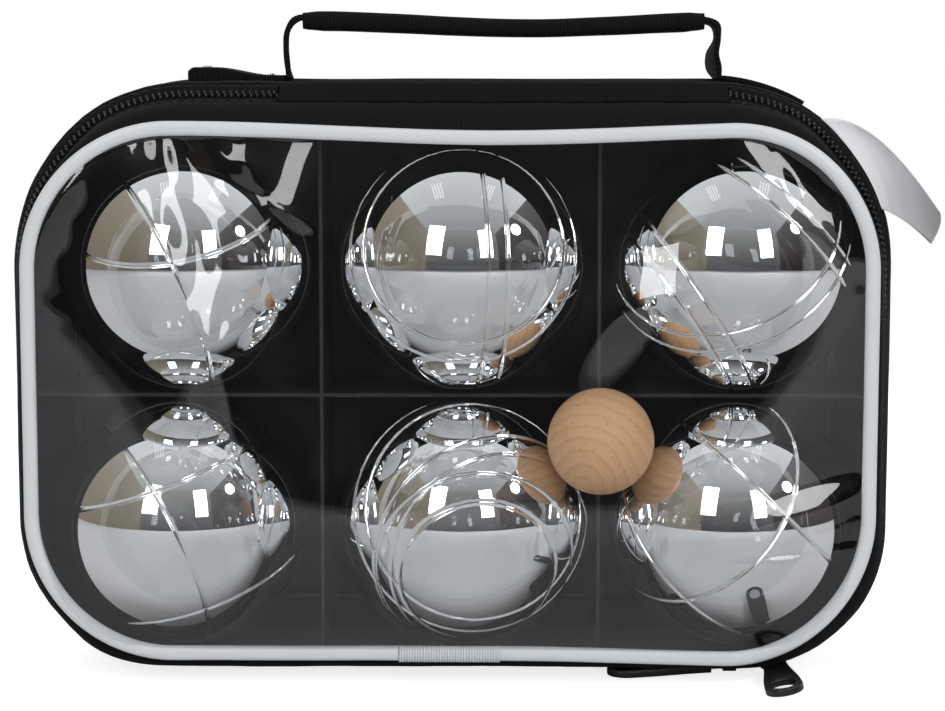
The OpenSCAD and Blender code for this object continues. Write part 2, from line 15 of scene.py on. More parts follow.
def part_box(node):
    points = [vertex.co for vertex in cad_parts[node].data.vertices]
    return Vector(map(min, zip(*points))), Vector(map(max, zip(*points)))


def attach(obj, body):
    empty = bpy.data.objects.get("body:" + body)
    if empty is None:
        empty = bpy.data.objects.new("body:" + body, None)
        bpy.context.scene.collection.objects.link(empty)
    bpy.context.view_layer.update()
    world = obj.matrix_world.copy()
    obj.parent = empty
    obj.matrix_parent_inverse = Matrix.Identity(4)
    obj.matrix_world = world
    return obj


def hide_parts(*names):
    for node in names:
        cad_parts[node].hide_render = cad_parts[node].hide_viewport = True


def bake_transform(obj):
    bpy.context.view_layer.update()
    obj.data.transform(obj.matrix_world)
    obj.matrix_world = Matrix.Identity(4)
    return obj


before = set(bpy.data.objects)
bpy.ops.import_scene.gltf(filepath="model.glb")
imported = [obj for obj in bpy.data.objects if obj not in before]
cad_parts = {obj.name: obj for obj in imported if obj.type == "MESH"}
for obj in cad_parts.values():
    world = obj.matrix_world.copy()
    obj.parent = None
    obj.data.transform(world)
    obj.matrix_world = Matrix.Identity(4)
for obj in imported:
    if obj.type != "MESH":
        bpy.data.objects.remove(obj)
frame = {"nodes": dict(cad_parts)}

log = logging.getLogger("boule_case")
MM = 0.001
Point = tuple[float, float, float]
Place = tuple[float, float]
Colour = tuple[float, float, float]
RingPlace = tuple[float, float, float, float]
CAMERA_AT: Point = (0.0147, -0.738, 0.1705)
LEFT_LAMP_AT: Point = (-0.80, -1.75, 0.98)
RIGHT_LAMP_AT: Point = (0.78, -1.80, 0.88)


class Body(str, Enum):
    """The moving bodies that a dressed piece rides on."""

    CASE = "case"
    LID = "lid"
    HANDLE = "handle"
    JACK = "jack"
    LEFT_PULL = "left_pull"
    RIGHT_PULL = "right_pull"


# Numbers


def clamp(value: float, low: float = 0.0, high: float = 1.0) -> float:
    """Return value held between low and high."""
    return max(low, min(high, value))


def ease(value: float) -> float:
    """Return the smooth step of a share from 0 to 1."""
    t = clamp(value)
    return t * t * (3 - 2 * t)


def mix(a: float, b: float, share: float) -> float:
    """Return the value that lies the given share of the way from a to b."""
    return a + (b - a) * share


def bell(distance: float, width: float) -> float:
    """Return a smooth bump of height 1 that fades over about its width."""
    return math.exp(-((distance / width) ** 2))


def drift(x: float, y: float, z: float, size: float, seed: float = 0.0) -> float:
    """Return smooth noise from -1 to 1.

    Args:
        x, y, z: The place, in millimetres.
        size: The rough size of one bump of the noise.
        seed: A shift that gives other noise at the same place.

    Returns:
        The noise at that place.
    """
    return noise.noise(Vector((x, y, z)) / size + Vector((seed, seed * 1.7, seed * 0.6)))


def spline(values: Sequence[float], position: float) -> float:
    """Return a smooth curve through evenly spaced values.

    Args:
        values: The values at positions 0, 1, 2 and so on.
        position: The place between them.

    Returns:
        The value of a Catmull-Rom curve there.
    """
    last = len(values) - 1
    i = min(int(clamp(position, 0, last)), last - 1)
    t = clamp(position, 0, last) - i
    a, b, c, d = (values[min(max(k, 0), last)] for k in (i - 1, i, i + 1, i + 2))
    return 0.5 * (2 * b + (c - a) * t + (2 * a - 5 * b + 4 * c - d) * t * t
                  + (3 * b - a - 3 * c + d) * t ** 3)


# Meshes


@dataclass
class Shape:
    """Points, faces and woven-cloth coordinates of one piece, gathered grid by grid."""

    points: list[Point] = field(default_factory=list)
    faces: list[tuple[int, ...]] = field(default_factory=list)
    corners: list[Place] = field(default_factory=list)

    @classmethod
    def of(cls, rows: Sequence[Sequence[Point]], closed: bool = False) -> "Shape":
        """Return a closed shape of rows joined around.

        Args:
            rows: Rows of points, all of one length.
            closed: Joins the ends; else they are capped.

        Returns:
            The closed shape.
        """
        shape = cls()
        shape.add_grid(rows, around=True, closed=closed, capped=not closed)
        return shape

    def add_face(self, indices: Sequence[int], places: Sequence[Place]) -> None:
        """Add one face with its cloth coordinates."""
        self.faces.append(tuple(indices))
        self.corners.extend(places)

    def add_grid(self, rows: Sequence[Sequence[Point]], around: bool = False, closed: bool = False,
                 capped: bool = False) -> None:
        """Add a grid of four-sided faces.

        Args:
            rows: Rows of points, all of one length.
            around: Joins the end of each row to its start.
            closed: Joins the last row to the first.
            capped: Closes the first and the last row with a face each.
        """
        base, count, wide = len(self.points), len(rows), len(rows[0])
        for row in rows:
            self.points.extend(row)
        middle = rows[count // 2]
        run = [0.0]
        for j in range(wide):
            run.append(run[-1] + math.dist(middle[j], middle[(j + 1) % wide]))
        rise = [0.0]
        for i in range(count):
            rise.append(rise[-1] + math.dist(rows[i][0], rows[(i + 1) % count][0]))
        for i in range(count if closed else count - 1):
            for j in range(wide if around else wide - 1):
                i2, j2 = (i + 1) % count, (j + 1) % wide
                self.add_face([base + i * wide + j, base + i * wide + j2, base + i2 * wide + j2,
                               base + i2 * wide + j],
                              [(run[j], rise[i]), (run[j + 1], rise[i]), (run[j + 1], rise[i + 1]),
                               (run[j], rise[i + 1])])
        if capped:
            for start in (0, (count - 1) * wide):
                ring = [base + start + j for j in range(wide)]
                self.add_face(ring, [(run[j], 0.0) for j in range(wide)])

    def to_object(self, name: str, finish: "Finish", outwards: bool = True) -> bpy.types.Object:
        """Return the piece as an object at the origin.

        Args:
            name: The piece's name.
            finish: Its finish.
            outwards: Turns all faces outwards, for a closed piece.

        Returns:
            The new object, with smooth shading and the cloth coordinates as its UV map.
        """
        mesh = bpy.data.meshes.new(name)
        mesh.from_pydata([tuple(c * MM for c in p) for p in self.points], [], self.faces)
        layer = mesh.uv_layers.new(name="cloth")
        layer.data.foreach_set("uv", [c * MM for place in self.corners for c in place])
        if outwards:
            work = bmesh.new()
            work.from_mesh(mesh)
            bmesh.ops.recalc_face_normals(work, faces=work.faces)
            work.to_mesh(mesh)
            work.free()
        mesh.materials.append(finish.material())
        mesh.shade_smooth()
        return place_mesh(mesh)


def place_mesh(mesh: bpy.types.Mesh) -> bpy.types.Object:
    """Return a new object at the origin.

    Args:
        mesh: The mesh that it shows.

    Returns:
        The object, linked to the scene.
    """
    obj = bpy.data.objects.new(mesh.name, mesh)
    bpy.context.scene.collection.objects.link(obj)
    return obj


def dress(obj: bpy.types.Object, body: str, slot: str, *nodes: str) -> bpy.types.Object:
    """Hang a finished piece on its body.

    Args:
        obj: The piece.
        body: The body that it rides on.
        slot: The record's material slot, which is not used.
        nodes: The solids that it stands for.

    Returns:
        The piece.
    """
    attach(obj, str(body.value if isinstance(body, Body) else body))
    if nodes:
        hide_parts(*nodes)
    log.info("piece %s: %d faces", obj.name, len(obj.data.polygons))
    return obj


def round_section(width: float, height: float, radius: float, steps: int = 4) -> list[Place]:
    """Return a centred rectangle with rounded corners.

    Args:
        width, height: Its size.
        radius: Radius of its corners.
        steps: Faces round each corner.

    Returns:
        The ring of places.
    """
    ring = []
    for k, (sx, sy) in enumerate(((1, 1), (-1, 1), (-1, -1), (1, -1))):
        for i in range(steps + 1):
            a = math.radians(90 * (k + i / steps))
            ring.append((sx * (width / 2 - radius) + radius * math.cos(a),
                         sy * (height / 2 - radius) + radius * math.sin(a)))
    return ring


def arc_places(x: float, y: float, radius: float, start: float, end: float, steps: int) -> list[Place]:
    """Return places along an arc.

    Args:
        x, y: Its middle.
        radius: Its radius.
        start, end: Its first and last angle in degrees.
        steps: Faces along it.

    Returns:
        The places, with both ends.
    """
    angles = (math.radians(mix(start, end, i / steps)) for i in range(steps + 1))
    return [(x + radius * math.cos(a), y + radius * math.sin(a)) for a in angles]


def sheet_rows(edge: Sequence[Place], middle: float, rings: int, power: float,
               depths: Callable[[float, float, float], Place]) -> list[list[Point]]:
    """Return the rows of a closed sheet with two skins that fills an outline.

    Args:
        edge: Places round the outline.
        middle: Height of the sheet's middle.
        rings: Rings from the edge to the middle.
        power: How the rings crowd at the edge; 1 spaces them evenly.
        depths: Gives both skins' depths for a place and its distance to the edge.

    Returns:
        Rows of the first skin from the middle outwards, then of the second one inwards.
    """
    first, second = [], []
    for i in range(rings):
        share = 1 - (i / rings) ** power
        first.append([])
        second.append([])
        for x0, z0 in edge:
            x, z = x0 * share, mix(middle, z0, share)
            for row, y in zip((first[-1], second[-1]), depths(x, z, math.hypot(x - x0, z - z0))):
                row.append((x, y, z))
    return first[::-1] + second


@dataclass(frozen=True)
class Outline:
    """A rounded outline across the case: half width, bottom, top, upper and lower corner radius."""

    half_w: float
    bottom: float
    top: float
    r_top: float
    r_low: float

    def grown(self, by: float) -> "Outline":
        """Return the outline moved outwards."""
        return Outline(self.half_w + by, self.bottom - by, self.top + by, self.r_top + by, self.r_low + by)

    def ring(self, fine: int = 1) -> list[RingPlace]:
        """Return places round the outline with their outward directions.

        Args:
            fine: How many times finer than about 3 mm the ring is.

        Returns:
            Rows of x, z and the two parts of the outward direction, from the right side upwards.
        """
        top_x, low_x = self.half_w - self.r_top, self.half_w - self.r_low
        low, high = self.bottom + self.r_low, self.top - self.r_top
        found: list[RingPlace] = []

        def arc(cx: float, cz: float, r: float, start: float, steps: int) -> None:
            """Add a quarter turn without its last place.

            Args:
                cx, cz: Its middle.
                r: Its radius.
                start: Its first angle in degrees.
                steps: How many places.
            """
            for i in range(steps):
                a = math.radians(start + 90 * i / steps)
                found.append((cx + r * math.cos(a), cz + r * math.sin(a), math.cos(a), math.sin(a)))

        def run(x0: float, z0: float, x1: float, z1: float, nx: float, nz: float, steps: int) -> None:
            """Add a straight stretch without its last place.

            Args:
                x0, z0: Its start.
                x1, z1: Its end.
                nx, nz: Its outward direction.
                steps: How many places.
            """
            for i in range(steps):
                found.append((mix(x0, x1, i / steps), mix(z0, z1, i / steps), nx, nz))

        run(self.half_w, low, self.half_w, high, 1, 0, 22 * fine)
        arc(top_x, high, self.r_top, 0, 26 * fine)
        run(top_x, self.top, -top_x, self.top, 0, 1, 54 * fine)
        arc(-top_x, high, self.r_top, 90, 26 * fine)
        run(-self.half_w, high, -self.half_w, low, -1, 0, 22 * fine)
        arc(-low_x, low, self.r_low, 180, 22 * fine)
        run(-low_x, self.bottom, low_x, self.bottom, 0, -1, 54 * fine)
        arc(low_x, low, self.r_low, 270, 22 * fine)
        return found


def between(a: Outline, b: Outline, share: float, bottom: float) -> Outline:
    """Return the outline a share of the way from a to b, with its own bottom."""
    return Outline(mix(a.half_w, b.half_w, share), bottom, mix(a.top, b.top, share),
                   mix(a.r_top, b.r_top, share), mix(a.r_low, b.r_low, share))


@dataclass(frozen=True)
class CaseForm:
    """The outlines and depths that every sewn piece of the case shares."""

    rim: Outline = Outline(115.6, 9.4, 154.6, 39.1, 39.1)
    rim_wall: Outline = Outline(116.2, 8.8, 155.2, 39.7, 39.7)
    crest: Outline = Outline(127.0, 0.0, 167.5, 55.0, 43.0)
    rim_y: float = 38.1
    wall_end_y: float = 36.15
    wall_t: float = 1.2
    zip_y: float = -19.0
    zip_lift: float = 3.6
    zip_bulge: float = 0.7
    tape_t: float = 0.6
    tape_end: float = 3.95
    hinge_low_x: float = -48.0
    hinge_high_x: float = 77.5
    top_sag: float = 2.5
    top_sag_x: float = 14.0
    top_sag_reach: float = 88.0
    low_sag: float = 1.3
    low_sag_x: float = 80.0
    low_sag_reach: float = 34.0
    band_slope: float = 0.62
    side_tuck: float = 2.4
    tuck_y: float = -25.0
    lean_fade: float = 16.0

    def tape(self) -> Outline:
        """Return the outer outline of the zip tape."""
        return between(self.rim_wall, self.crest, self.zip_bulge, self.zip_lift - self.tape_t / 2)

    def zip(self) -> Outline:
        """Return the outline of the zip's middle plane."""
        return self.tape().grown(-self.tape_t / 2)

    def sag(self, x: float, z: float) -> float:
        """Return how far the window frame hangs below straight lines.

        Args:
            x, z: The place, in millimetres.

        Returns:
            The height to add, 0 or less.
        """
        top = self.top_sag * ease(1 - abs(x - self.top_sag_x) / self.top_sag_reach) * ease((z - 120) / 34)
        low = self.low_sag * bell(x - self.low_sag_x, self.low_sag_reach) * ease((50 - z) / 40)
        return -top - low

    def slope(self, x: float, z: float) -> float:
        """Return how steeply the zip's band leans towards the window: most at the top, none at the bottom."""
        share = ease((z - 95) / 55) if x > 0 else ease((z - 112) / 42)
        return self.band_slope * share

    def tuck(self, x: float, y: float, z: float) -> float:
        """Return how far the side walls are drawn in behind the window frame.

        Args:
            x, y, z: The place, in millimetres.

        Returns:
            The distance inwards.
        """
        side = self.side_tuck * (ease((z - 20) / 35) if x > 0 else 1.0)
        before = y < self.tuck_y
        depth = ease((y + self.wall_end_y) / 9) if before else 1 - ease((y - self.tuck_y) / 27)
        return side * depth * ease((abs(x) - 96) / 20)

    def lean(self, x: float, y: float, z: float) -> float:
        """Return how far outwards a sewn piece lies, as the zip's band leans and the sides are drawn in.

        Args:
            x, y, z: The place, in millimetres.

        Returns:
            The distance outwards, below 0 where the piece is drawn in.
        """
        away, slope, drawn = y - self.zip_y, self.slope(x, z), self.tuck(x, y, z)
        if away < -self.tape_end:
            fade = 1 - clamp((-away - self.tape_end) / (self.wall_end_y + self.zip_y - self.tape_end))
            return -slope * self.tape_end * fade - drawn
        if away > self.tape_end:
            return slope * self.tape_end * (1 - ease((away - self.tape_end) / self.lean_fade)) - drawn
        return slope * away - drawn

    def off_hinge(self, ring: Sequence[RingPlace]) -> list[RingPlace]:
        """Return a ring's places that lie off the hinge strip.

        Args:
            ring: Places round the case.

        Returns:
            The places from the strip's right end round the case to its left end.
        """
        def on_hinge(p: RingPlace) -> bool:
            """Tell whether a place lies in the hinge's stretch."""
            return p[1] > 150 and self.hinge_low_x < p[0] < self.hinge_high_x
        start = next(i for i, p in enumerate(ring) if on_hinge(ring[i - 1]) and not on_hinge(p))
        turned = list(ring[start:]) + list(ring[:start])
        kept = [p for p in turned if not on_hinge(p)]
        top = kept[0][1]
        return ([(self.hinge_low_x - 0.2, top, 0.0, 1.0)] + kept
                + [(self.hinge_high_x + 0.2, top, 0.0, 1.0)])


FORM = CaseForm()


# Shader groups


class Effect(Enum):
    """Shader effects that more than one finish uses."""

    WEAVE = "Weave"
    RIBS = "Ribs"
    MOTTLE = "Mottle"


@dataclass
class Wiring:
    """Short calls that add and join nodes in one tree."""

    tree: bpy.types.NodeTree

    def node(self, kind: str, **settings: object) -> bpy.types.Node:
        """Return a new node.

        Args:
            kind: The node's type.
            **settings: Values of its own properties.

        Returns:
            The node.
        """
        made = self.tree.nodes.new(kind)
        for key, value in settings.items():
            setattr(made, key, value)
        return made

    def feed(self, target: bpy.types.NodeSocket, source: object) -> None:
        """Join a socket to a source, or write a plain value on it.

        Args:
            target: An input socket.
            source: Another node's socket, or a value.
        """
        if isinstance(source, bpy.types.NodeSocket):
            self.tree.links.new(source, target)
        else:
            target.default_value = source

    def fill(self, node: bpy.types.Node, values: dict[str | int, object]) -> bpy.types.Node:
        """Feed several inputs of a node.

        Args:
            node: The node.
            values: A source or value for each input, by name or number.

        Returns:
            The same node.
        """
        for key, value in values.items():
            self.feed(node.inputs[key], value)
        return node

    def place(self) -> bpy.types.NodeSocket:
        """Return the object coordinates."""
        return self.node("ShaderNodeTexCoord").outputs["Object"]

    def cloth(self) -> bpy.types.NodeSocket:
        """Return the piece's own cloth coordinates."""
        return self.node("ShaderNodeUVMap", uv_map="cloth").outputs[0]

    def maths(self, operation: str, *values: object, clamped: bool = False) -> bpy.types.NodeSocket:
        """Return the result of a Math node."""
        made = self.node("ShaderNodeMath", operation=operation, use_clamp=clamped)
        return self.fill(made, dict(enumerate(values))).outputs[0]

    def plus(self, a: object, b: object) -> bpy.types.NodeSocket:
        """Return the sum of two values."""
        return self.maths("ADD", a, b)

    def times(self, a: object, b: object) -> bpy.types.NodeSocket:
        """Return the product of two values."""
        return self.maths("MULTIPLY", a, b)

    def split(self, vector: object) -> bpy.types.NodeOutputs:
        """Return the three parts of a vector."""
        return self.fill(self.node("ShaderNodeSeparateXYZ"), {0: vector}).outputs

    def mapped(self, vector: object, **settings: Point) -> bpy.types.NodeSocket:
        """Return a vector moved, turned or stretched by a Mapping node."""
        return self.fill(self.node("ShaderNodeMapping"), {"Vector": vector, **settings}).outputs[0]

    def noise(self, vector: object, scale: object, detail: float = 3.0,
              rough: float = 0.55) -> bpy.types.NodeSocket:
        """Return the value of a Noise Texture node."""
        return self.fill(self.node("ShaderNodeTexNoise"), {
            "Vector": vector, "Scale": scale, "Detail": detail, "Roughness": rough}).outputs[0]

    def ramp(self, value: object, low: float, high: float) -> bpy.types.NodeSocket:
        """Return a value stretched from low and high to 0 and 1."""
        return self.fill(self.node("ShaderNodeMapRange"), {
            "From Min": low, "From Max": high, "Value": value}).outputs[0]

    def blend(self, share: object, a: object, b: object) -> bpy.types.NodeSocket:
        """Return two colours mixed by a share."""
        return self.fill(self.node("ShaderNodeMix", data_type="RGBA"), {0: share, 6: a, 7: b}).outputs[2]

    def layered(self, share: object, below: object, above: object) -> bpy.types.NodeSocket:
        """Return two shaders mixed by a share."""
        return self.fill(self.node("ShaderNodeMixShader"), {0: share, 1: below, 2: above}).outputs[0]

    def bump(self, height: object, depth: float) -> bpy.types.NodeSocket:
        """Return the normal of a height from 0 to 1 that stands for a depth in millimetres."""
        return self.fill(self.node("ShaderNodeBump"), {"Distance": depth * MM, "Height": height}).outputs[0]

    def effect(self, which: Effect, **values: object) -> bpy.types.NodeOutputs:
        """Return the outputs of a shared effect placed in this tree with its own values."""
        return self.fill(self.node("ShaderNodeGroup", node_tree=EFFECTS[which]), values).outputs


def new_group(which: Effect, inputs: dict[str, float | None], outputs: Sequence[str]) -> tuple[
        Wiring, bpy.types.NodeOutputs, bpy.types.NodeInputs]:
    """Return a new shader group with its sockets.

    Args:
        which: The effect that it makes.
        inputs: Each input's name with its first value, or None for a vector.
        outputs: Names of the outputs, which are all values.

    Returns:
        The group's wiring, what it is given and what it hands back.
    """
    tree = bpy.data.node_groups.new(which.value, "ShaderNodeTree")
    for title, value in inputs.items():
        kind = "NodeSocketVector" if value is None else "NodeSocketFloat"
        socket = tree.interface.new_socket(name=title, in_out="INPUT", socket_type=kind)
        if value is not None:
            socket.default_value = value
    for title in outputs:
        tree.interface.new_socket(name=title, in_out="OUTPUT", socket_type="NodeSocketFloat")
    given = tree.nodes.new("NodeGroupInput").outputs
    results = tree.nodes.new("NodeGroupOutput").inputs
    return Wiring(tree), given, results


def weave_group() -> bpy.types.ShaderNodeTree:
    """Return a plain weave.

    Returns:
        The group, with Height of the threads and Thread, their uneven tone.
    """
    w, given, results = new_group(Effect.WEAVE, {"Vector": None, "Pitch": 0.0005}, ("Height", "Thread"))
    across = w.split(given["Vector"])
    turns = w.maths("DIVIDE", math.pi, given["Pitch"])
    wave = [w.maths("SINE", w.times(across[k], turns)) for k in (0, 1)]
    crossing = w.maths("ABSOLUTE", w.times(wave[0], wave[1]))
    fuzz = w.noise(given["Vector"], w.maths("DIVIDE", 0.4, given["Pitch"]), 2.0)
    w.feed(results["Height"], w.plus(w.times(crossing, 0.75), w.times(fuzz, 0.25)))
    w.feed(results["Thread"], w.ramp(fuzz, 0.3, 0.7))
    return w.tree


def ribs_group() -> bpy.types.ShaderNodeTree:
    """Return fine ribs across the cloth.

    Returns:
        The group, with Height of the ribs and a shade mask, the painted shade of the hollows between them.
    """
    w, given, results = new_group(Effect.RIBS, {"Vector": None, "Pitch": 0.001, "Waver": 0.1},
                                  ("Height", "Groove"))
    uneven = w.maths("SUBTRACT", w.noise(given["Vector"], 60.0, 1.0), 0.5)
    sway = w.times(uneven, w.times(given["Waver"], given["Pitch"]))
    turns = w.maths("DIVIDE", math.pi, given["Pitch"])
    wave = w.maths("SINE", w.times(w.plus(w.split(given["Vector"])[0], sway), turns))
    rib = w.maths("ABSOLUTE", wave)
    w.feed(results["Height"], rib)
    # Painted shade: this mask marks the hollows between the ribs for darkening.
    w.feed(results["Groove"], w.ramp(rib, 0.45, 0.0))
    return w.tree


def mottle_group() -> bpy.types.ShaderNodeTree:
    """Return soft uneven patches.

    Returns:
        The group, with Mask for dust, handling and wear, and Speck for fine dust.
    """
    w, given, results = new_group(Effect.MOTTLE, {"Vector": None, "Size": 0.02, "Share": 0.4},
                                  ("Mask", "Speck"))
    broad = w.noise(given["Vector"], w.maths("DIVIDE", 1.0, given["Size"]), 5.0, 0.62)
    past_edge = w.maths("SUBTRACT", broad, w.maths("SUBTRACT", 1.0, given["Share"]), clamped=True)
    w.feed(results["Mask"], w.maths("MULTIPLY", past_edge, 3.0, clamped=True))
    w.feed(results["Speck"], w.ramp(w.noise(given["Vector"], 2600.0, 1.0), 0.8, 0.86))
    return w.tree


EFFECTS: dict[Effect, bpy.types.ShaderNodeTree] = {
    Effect.WEAVE: weave_group(), Effect.RIBS: ribs_group(), Effect.MOTTLE: mottle_group()}


# Finishes


def rgba(colour: Colour, share: float = 1.0) -> tuple[float, float, float, float]:
    """Return a colour with full cover, made lighter or darker by a share."""
    return tuple(min(c * share, 1.0) for c in colour) + (1.0,)


@dataclass(frozen=True)
class Finish:
    """A named procedural material."""

    name: str

    @cache
    def material(self) -> bpy.types.Material:
        """Return the finish's material.

        Returns:
            The material, built when first asked for.
        """
        mat = bpy.data.materials.new(self.name)
        mat.use_nodes = True
        self.wire(Wiring(mat.node_tree), mat.node_tree.nodes["Principled BSDF"])
        return mat

    def wire(self, w: Wiring, shader: bpy.types.Node) -> None:
        """Add the finish's own nodes.

        Args:
            w: The material's wiring.
            shader: Its Principled shader.
        """
        raise NotImplementedError


@dataclass(frozen=True)
class ClothFinish(Finish):
    """Woven cloth with a thread pitch in millimetres, light dust and a soft sheen."""

    colour: Colour
    pitch: float = 0.55
    depth: float = 0.12
    roughness: float = 0.86
    sheen: float = 0.02
    dust: float = 0.3
    contrast: float = 0.3
    gloss: float = 0.05

    def wire(self, w: Wiring, shader: bpy.types.Node) -> None:
        """Add the threads, the dust and the sheen.

        Args:
            w: The material's wiring.
            shader: Its Principled shader.
        """
        weave = w.effect(Effect.WEAVE, Vector=w.cloth(), Pitch=self.pitch * MM)
        patches = w.effect(Effect.MOTTLE, Vector=w.place(), Size=0.03, Share=0.55)
        thread = w.blend(weave["Thread"], rgba(self.colour, 1 - self.contrast),
                         rgba(self.colour, 1 + self.contrast))
        w.fill(shader, {
            "Base Color": w.blend(w.times(patches["Mask"], self.dust), thread, rgba(self.colour, 1.9)),
            "Roughness": w.plus(self.roughness - 0.08, w.times(weave["Thread"], 0.14)),
            "Normal": w.bump(weave["Height"], self.depth),
            "Sheen Weight": self.sheen, "Sheen Roughness": 0.45, "Specular IOR Level": self.gloss})


@dataclass(frozen=True)
class RibbedFinish(Finish):
    """Ribbed tape or braid, with the rib pitch in millimetres."""

    colour: Colour
    pitch: float = 1.1
    depth: float = 0.25
    roughness: float = 0.8
    sheen: float = 0.02
    crosswise: bool = True
    gloss: float = 0.05

    def wire(self, w: Wiring, shader: bpy.types.Node) -> None:
        """Add the ribs with painted shade in their hollows, the threads and the wear.

        Args:
            w: The material's wiring.
            shader: Its Principled shader.
        """
        cloth = w.cloth()
        turned = w.mapped(cloth, Rotation=(0.0, 0.0, math.pi / 2 if self.crosswise else 0.0))
        ribs = w.effect(Effect.RIBS, Vector=turned, Pitch=self.pitch * MM, Waver=0.25)
        weave = w.effect(Effect.WEAVE, Vector=cloth, Pitch=0.4 * MM)
        patches = w.effect(Effect.MOTTLE, Vector=w.place(), Size=0.02, Share=0.5)
        # Painted shade: the cloth is drawn at half its colour in the hollows between the ribs.
        tone = w.blend(ribs["Groove"], rgba(self.colour), rgba(self.colour, 0.5))
        height = w.plus(w.times(ribs["Height"], 0.8), w.times(weave["Height"], 0.2))
        w.fill(shader, {
            "Base Color": w.blend(w.times(patches["Mask"], 0.2), tone, rgba(self.colour, 1.35)),
            "Roughness": w.plus(self.roughness - 0.05, w.times(weave["Thread"], 0.1)),
            "Normal": w.bump(height, self.depth),
            "Sheen Weight": self.sheen, "Specular IOR Level": self.gloss})


@dataclass(frozen=True)
class MouldedFinish(Finish):
    """Moulded plastic, vinyl, rubber or enamel with a faint ripple and handling marks."""

    colour: Colour
    roughness: float = 0.4
    ripple: float = 0.02
    grain: float = 0.004
    coat: float = 0.0
    metallic: float = 0.0
    marks: float = 0.35

    def wire(self, w: Wiring, shader: bpy.types.Node) -> None:
        """Add the ripple, the grain and the handling marks.

        Args:
            w: The material's wiring.
            shader: Its Principled shader.
        """
        place = w.place()
        patches = w.effect(Effect.MOTTLE, Vector=place, Size=0.012, Share=0.5)
        fine = w.noise(place, 1.0 / (0.25 * MM), 3.0)
        broad = w.noise(place, 1.0 / (9 * MM), 2.0)
        marks = w.times(patches["Mask"], self.marks)
        height = w.plus(w.times(broad, self.ripple), w.times(fine, self.grain))
        w.fill(shader, {
            "Base Color": w.blend(marks, rgba(self.colour), rgba(self.colour, 1.25)),
            "Roughness": w.plus(self.roughness, w.times(marks, 0.3)),
            "Normal": w.bump(height, 1.0),
            "Coat Weight": self.coat, "Metallic": self.metallic})


@dataclass(frozen=True)
class PolishedFinish(Finish):
    """Mirror polished steel with faint handling marks and hairlines."""

    colour: Colour = (0.88, 0.89, 0.9)
    roughness: float = 0.02

    def wire(self, w: Wiring, shader: bpy.types.Node) -> None:
        """Add the marks, the hairlines and a very faint ripple.

        Args:
            w: The material's wiring.
            shader: Its Principled shader.
        """
        place = w.place()
        patches = w.effect(Effect.MOTTLE, Vector=place, Size=0.016, Share=0.42)
        drawn_out = w.mapped(place, Scale=(1.0, 1.0, 0.08), Rotation=(0.4, 0.9, 0.2))
        hairs = w.ramp(w.noise(drawn_out, 1900.0, 2.0), 0.6, 0.75)
        dull = w.plus(w.times(patches["Mask"], 0.035), w.times(hairs, 0.02))
        w.fill(shader, {
            "Base Color": w.blend(patches["Mask"], rgba(self.colour), rgba(self.colour, 0.95)),
            "Roughness": w.plus(self.roughness, dull),
            "Normal": w.bump(w.noise(place, 1.0 / (14 * MM), 1.0), 0.02),
            "Metallic": 1.0})


@dataclass(frozen=True)
class WoodFinish(Finish):
    """Bare turned beech: growth rings, short flecks and fine pores."""

    pale: Colour = (0.84, 0.50, 0.27)
    dark: Colour = (0.60, 0.31, 0.14)

    def wire(self, w: Wiring, shader: bpy.types.Node) -> None:
        """Add the rings, the fibres and the flecks.

        Args:
            w: The material's wiring.
            shader: Its Principled shader.
        """
        turned = w.mapped(w.place(), Location=(-0.05, 0.06, -0.03), Rotation=(0.35, 0.25, 0.1))
        rings = w.node("ShaderNodeTexWave", wave_type="RINGS", rings_direction="Y", wave_profile="SAW")
        w.fill(rings, {
            "Vector": turned, "Scale": 95.0, "Distortion": 2.2, "Detail": 3.0, "Detail Scale": 1.4})
        along = w.mapped(turned, Scale=(1.0, 0.12, 1.0))
        fibres = w.noise(along, 1500.0, 4.0)
        flecks = w.ramp(w.noise(along, 900.0, 1.0), 0.62, 0.72)
        late = w.maths("POWER", rings.outputs["Fac"], 3.0)
        tone = w.plus(w.times(late, 0.42), w.times(fibres, 0.3))
        base = w.blend(tone, rgba(self.pale), rgba(self.dark))
        w.fill(shader, {
            "Base Color": w.blend(w.times(flecks, 0.35), base, rgba(self.dark, 0.7)),
            "Roughness": w.plus(0.42, w.times(fibres, 0.2)),
            "Normal": w.bump(w.plus(fibres, late), 0.03)})


@dataclass(frozen=True)
class FilmFinish(Finish):
    """Clear soft film: it lets light through, mirrors at its skin and holds a little dust."""

    index: float = 1.46
    roughness: float = 0.025

    def wire(self, w: Wiring, shader: bpy.types.Node) -> None:
        """Add the clear body with its dust, and the skin that mirrors.

        Args:
            w: The material's wiring.
            shader: Its Principled shader.
        """
        w.fill(shader, {"Base Color": (0.95, 0.96, 0.97, 1.0), "Roughness": self.roughness, "Metallic": 1.0})
        clear = w.fill(w.node("ShaderNodeBsdfTransparent"), {"Color": (0.965, 0.97, 0.975, 1.0)})
        haze = w.fill(w.node("ShaderNodeBsdfDiffuse"), {"Color": (0.8, 0.82, 0.84, 1.0)})
        behind = w.node("ShaderNodeNewGeometry").outputs["Backfacing"]
        index = w.plus(self.index, w.times(behind, 1 / self.index - self.index))
        mirror = w.fill(w.node("ShaderNodeFresnel"), {"IOR": index})
        patches = w.effect(Effect.MOTTLE, Vector=w.place(), Size=0.025, Share=0.45)
        dust = w.plus(w.times(patches["Mask"], 0.008), w.times(patches["Speck"], 0.015))
        body = w.layered(dust, clear.outputs[0], haze.outputs[0])
        skin = w.layered(mirror.outputs[0], body, shader.outputs[0])
        w.feed(w.tree.nodes["Material Output"].inputs["Surface"], skin)


